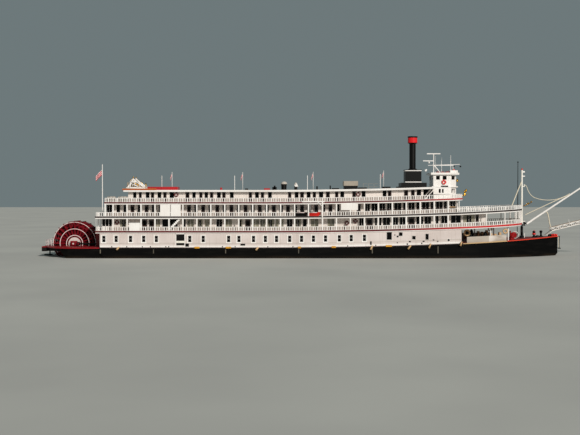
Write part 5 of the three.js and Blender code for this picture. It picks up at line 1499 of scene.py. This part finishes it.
# %% Gilded lamp and finial
LANTERN = [(0, 0.030), (0.010, 0.026), (0.020, 0.010), (0.024, -0.008), (0.008, -0.020), (0, -0.022)]
FINIAL = [(0, 0.090), (0.010, 0.080), (0.014, 0.058), (0.010, 0.044), (0.020, 0.024), (0.024, 0.004), (0, 0)]
bm = bmesh.new()
spun(bm, LANTERN, (2.826, -0.12, 1.478), steps=20)
spun(bm, FINIAL, (2.975, 0, 1.225), steps=20)
rod(bm, (2.865, 0, 1.190), (2.975, 0, 1.235), 0.007)
spun(bm, [(0, 0.060), (0.016, 0.048), (0.022, 0.020), (0.010, 0.0)], (2.985, 0, 1.285), (0.4, 0, 1), 16)
piece("gilded_lamp_and_finial", bm, brass, smooth=True)

# %% Pilothouse walls: mullions, the lower windows and a dark strip
WHEELHOUSE_FACE, LOWER_FACE = 0.2505, 0.2765
boards, panes, ledge = bmesh.new(), bmesh.new(), bmesh.new()
for side in SIDES.values():
    near, far = sorted((side * WHEELHOUSE_FACE, side * (WHEELHOUSE_FACE + 0.004)))
    for x0, x1 in ((2.425, 2.450), (2.512, 2.560), (2.626, 2.664)):
        board(boards, (x0, near, 1.484), (x1, far, 1.568), 0.001)
    near, far = sorted((side * LOWER_FACE, side * (LOWER_FACE + 0.004)))
    board(boards, (2.400, near, 1.250), (2.700, far, 1.362), 0.001)
    near, far = sorted((side * LOWER_FACE, side * (LOWER_FACE + 0.006)))
    for x0, x1 in ((2.492, 2.524), (2.546, 2.572)):
        block(panes, (x0, near, 1.272), (x1, far, 1.338))
    # A black strip under the life ring.
    block(ledge, (2.530, near, 1.372), (2.650, far, 1.392))
piece("pilothouse_mullions", boards, white)
piece("pilothouse_lower_panes", panes, glass_dark)
piece("pilothouse_dark_strip", ledge, black)

# %% Stairs up to the roof, beside the pilothouse
bm, dark = bmesh.new(), bmesh.new()
foot, head = Vector((2.225, 0, SUN + sheer(2.225))), Vector((2.385, 0, ROOF + sheer(2.385) - 0.03))
for side in SIDES.values():
    for y in (0.44, 0.52):
        rod(bm, foot + Vector((0, side * y, 0)), head + Vector((0, side * y, 0)), 0.006, sides=6)
        lift = Vector((0, side * y, 0.055))
        rod(bm, foot + lift, head + lift, 0.004, sides=6)
    for step in range(1, 8):
        at = foot.lerp(head, step / 8)
        near, far = sorted((side * 0.44, side * 0.52))
        block(bm, (at.x - 0.012, near, at.z - 0.003), (at.x + 0.012, far, at.z + 0.003))
    near, far = sorted((side * 0.36, side * 0.37))
    block(dark, (2.215, near, SUN + sheer(2.2) + 0.004), (2.385, far, ROOF + sheer(2.2) - 0.034))
piece("roof_stairs", bm, white)
piece("shade_behind_stairs", dark, glass_dark)

# %% [markdown]
# ## Light and floor
# A pale grey sky fills the shadows. A soft sun, 25 degrees up, stands behind the camera and to its right,
# and lights the side that shows. The floor is plain and pale, at the height of the water.

# %% Studio
world = bpy.data.worlds.new("studio")
bpy.context.scene.world = world
world.use_nodes = True
sky = world.node_tree.nodes["Background"]
sky.inputs["Color"].default_value = srgb("#7d8a8c")
sky.inputs["Strength"].default_value = 0.75
sun = bpy.data.lights.new("sun", "SUN")
sun.energy = 2.9
sun.angle = 0.12
sun.color = (1.0, 0.95, 0.88)
lamp = bpy.data.objects.new("sun", sun)
SUN_HEIGHT, SUN_TURN = math.radians(25), math.radians(24)
lamp.rotation_euler = (math.pi / 2 - SUN_HEIGHT, 0, SUN_TURN)
bpy.context.collection.objects.link(lamp)
bpy.context.scene.view_settings.view_transform = "Standard"

FLOOR_SIZE = 200.0
bm = bmesh.new()
bmesh.ops.create_grid(bm, x_segments=1, y_segments=1, size=FLOOR_SIZE / 2)
bmesh.ops.translate(bm, vec=(0, 0, WATERLINE), verts=bm.verts)
floor_mesh = bpy.data.meshes.new("floor")
bm.to_mesh(floor_mesh)
bm.free()
floor_paint, tree, shader, where = start("pale_floor", 0.85)
pale_floor = mixed(tree, noise(tree, where, 2.0), srgb("#c9c8c2"), srgb("#bfbeb9"))
tree.links.new(pale_floor, shader.inputs["Base Color"])
floor_mesh.materials.append(floor_paint)
floor = bpy.data.objects.new("floor", floor_mesh)
bpy.context.collection.objects.link(floor)
print("floor at", WATERLINE, "m")
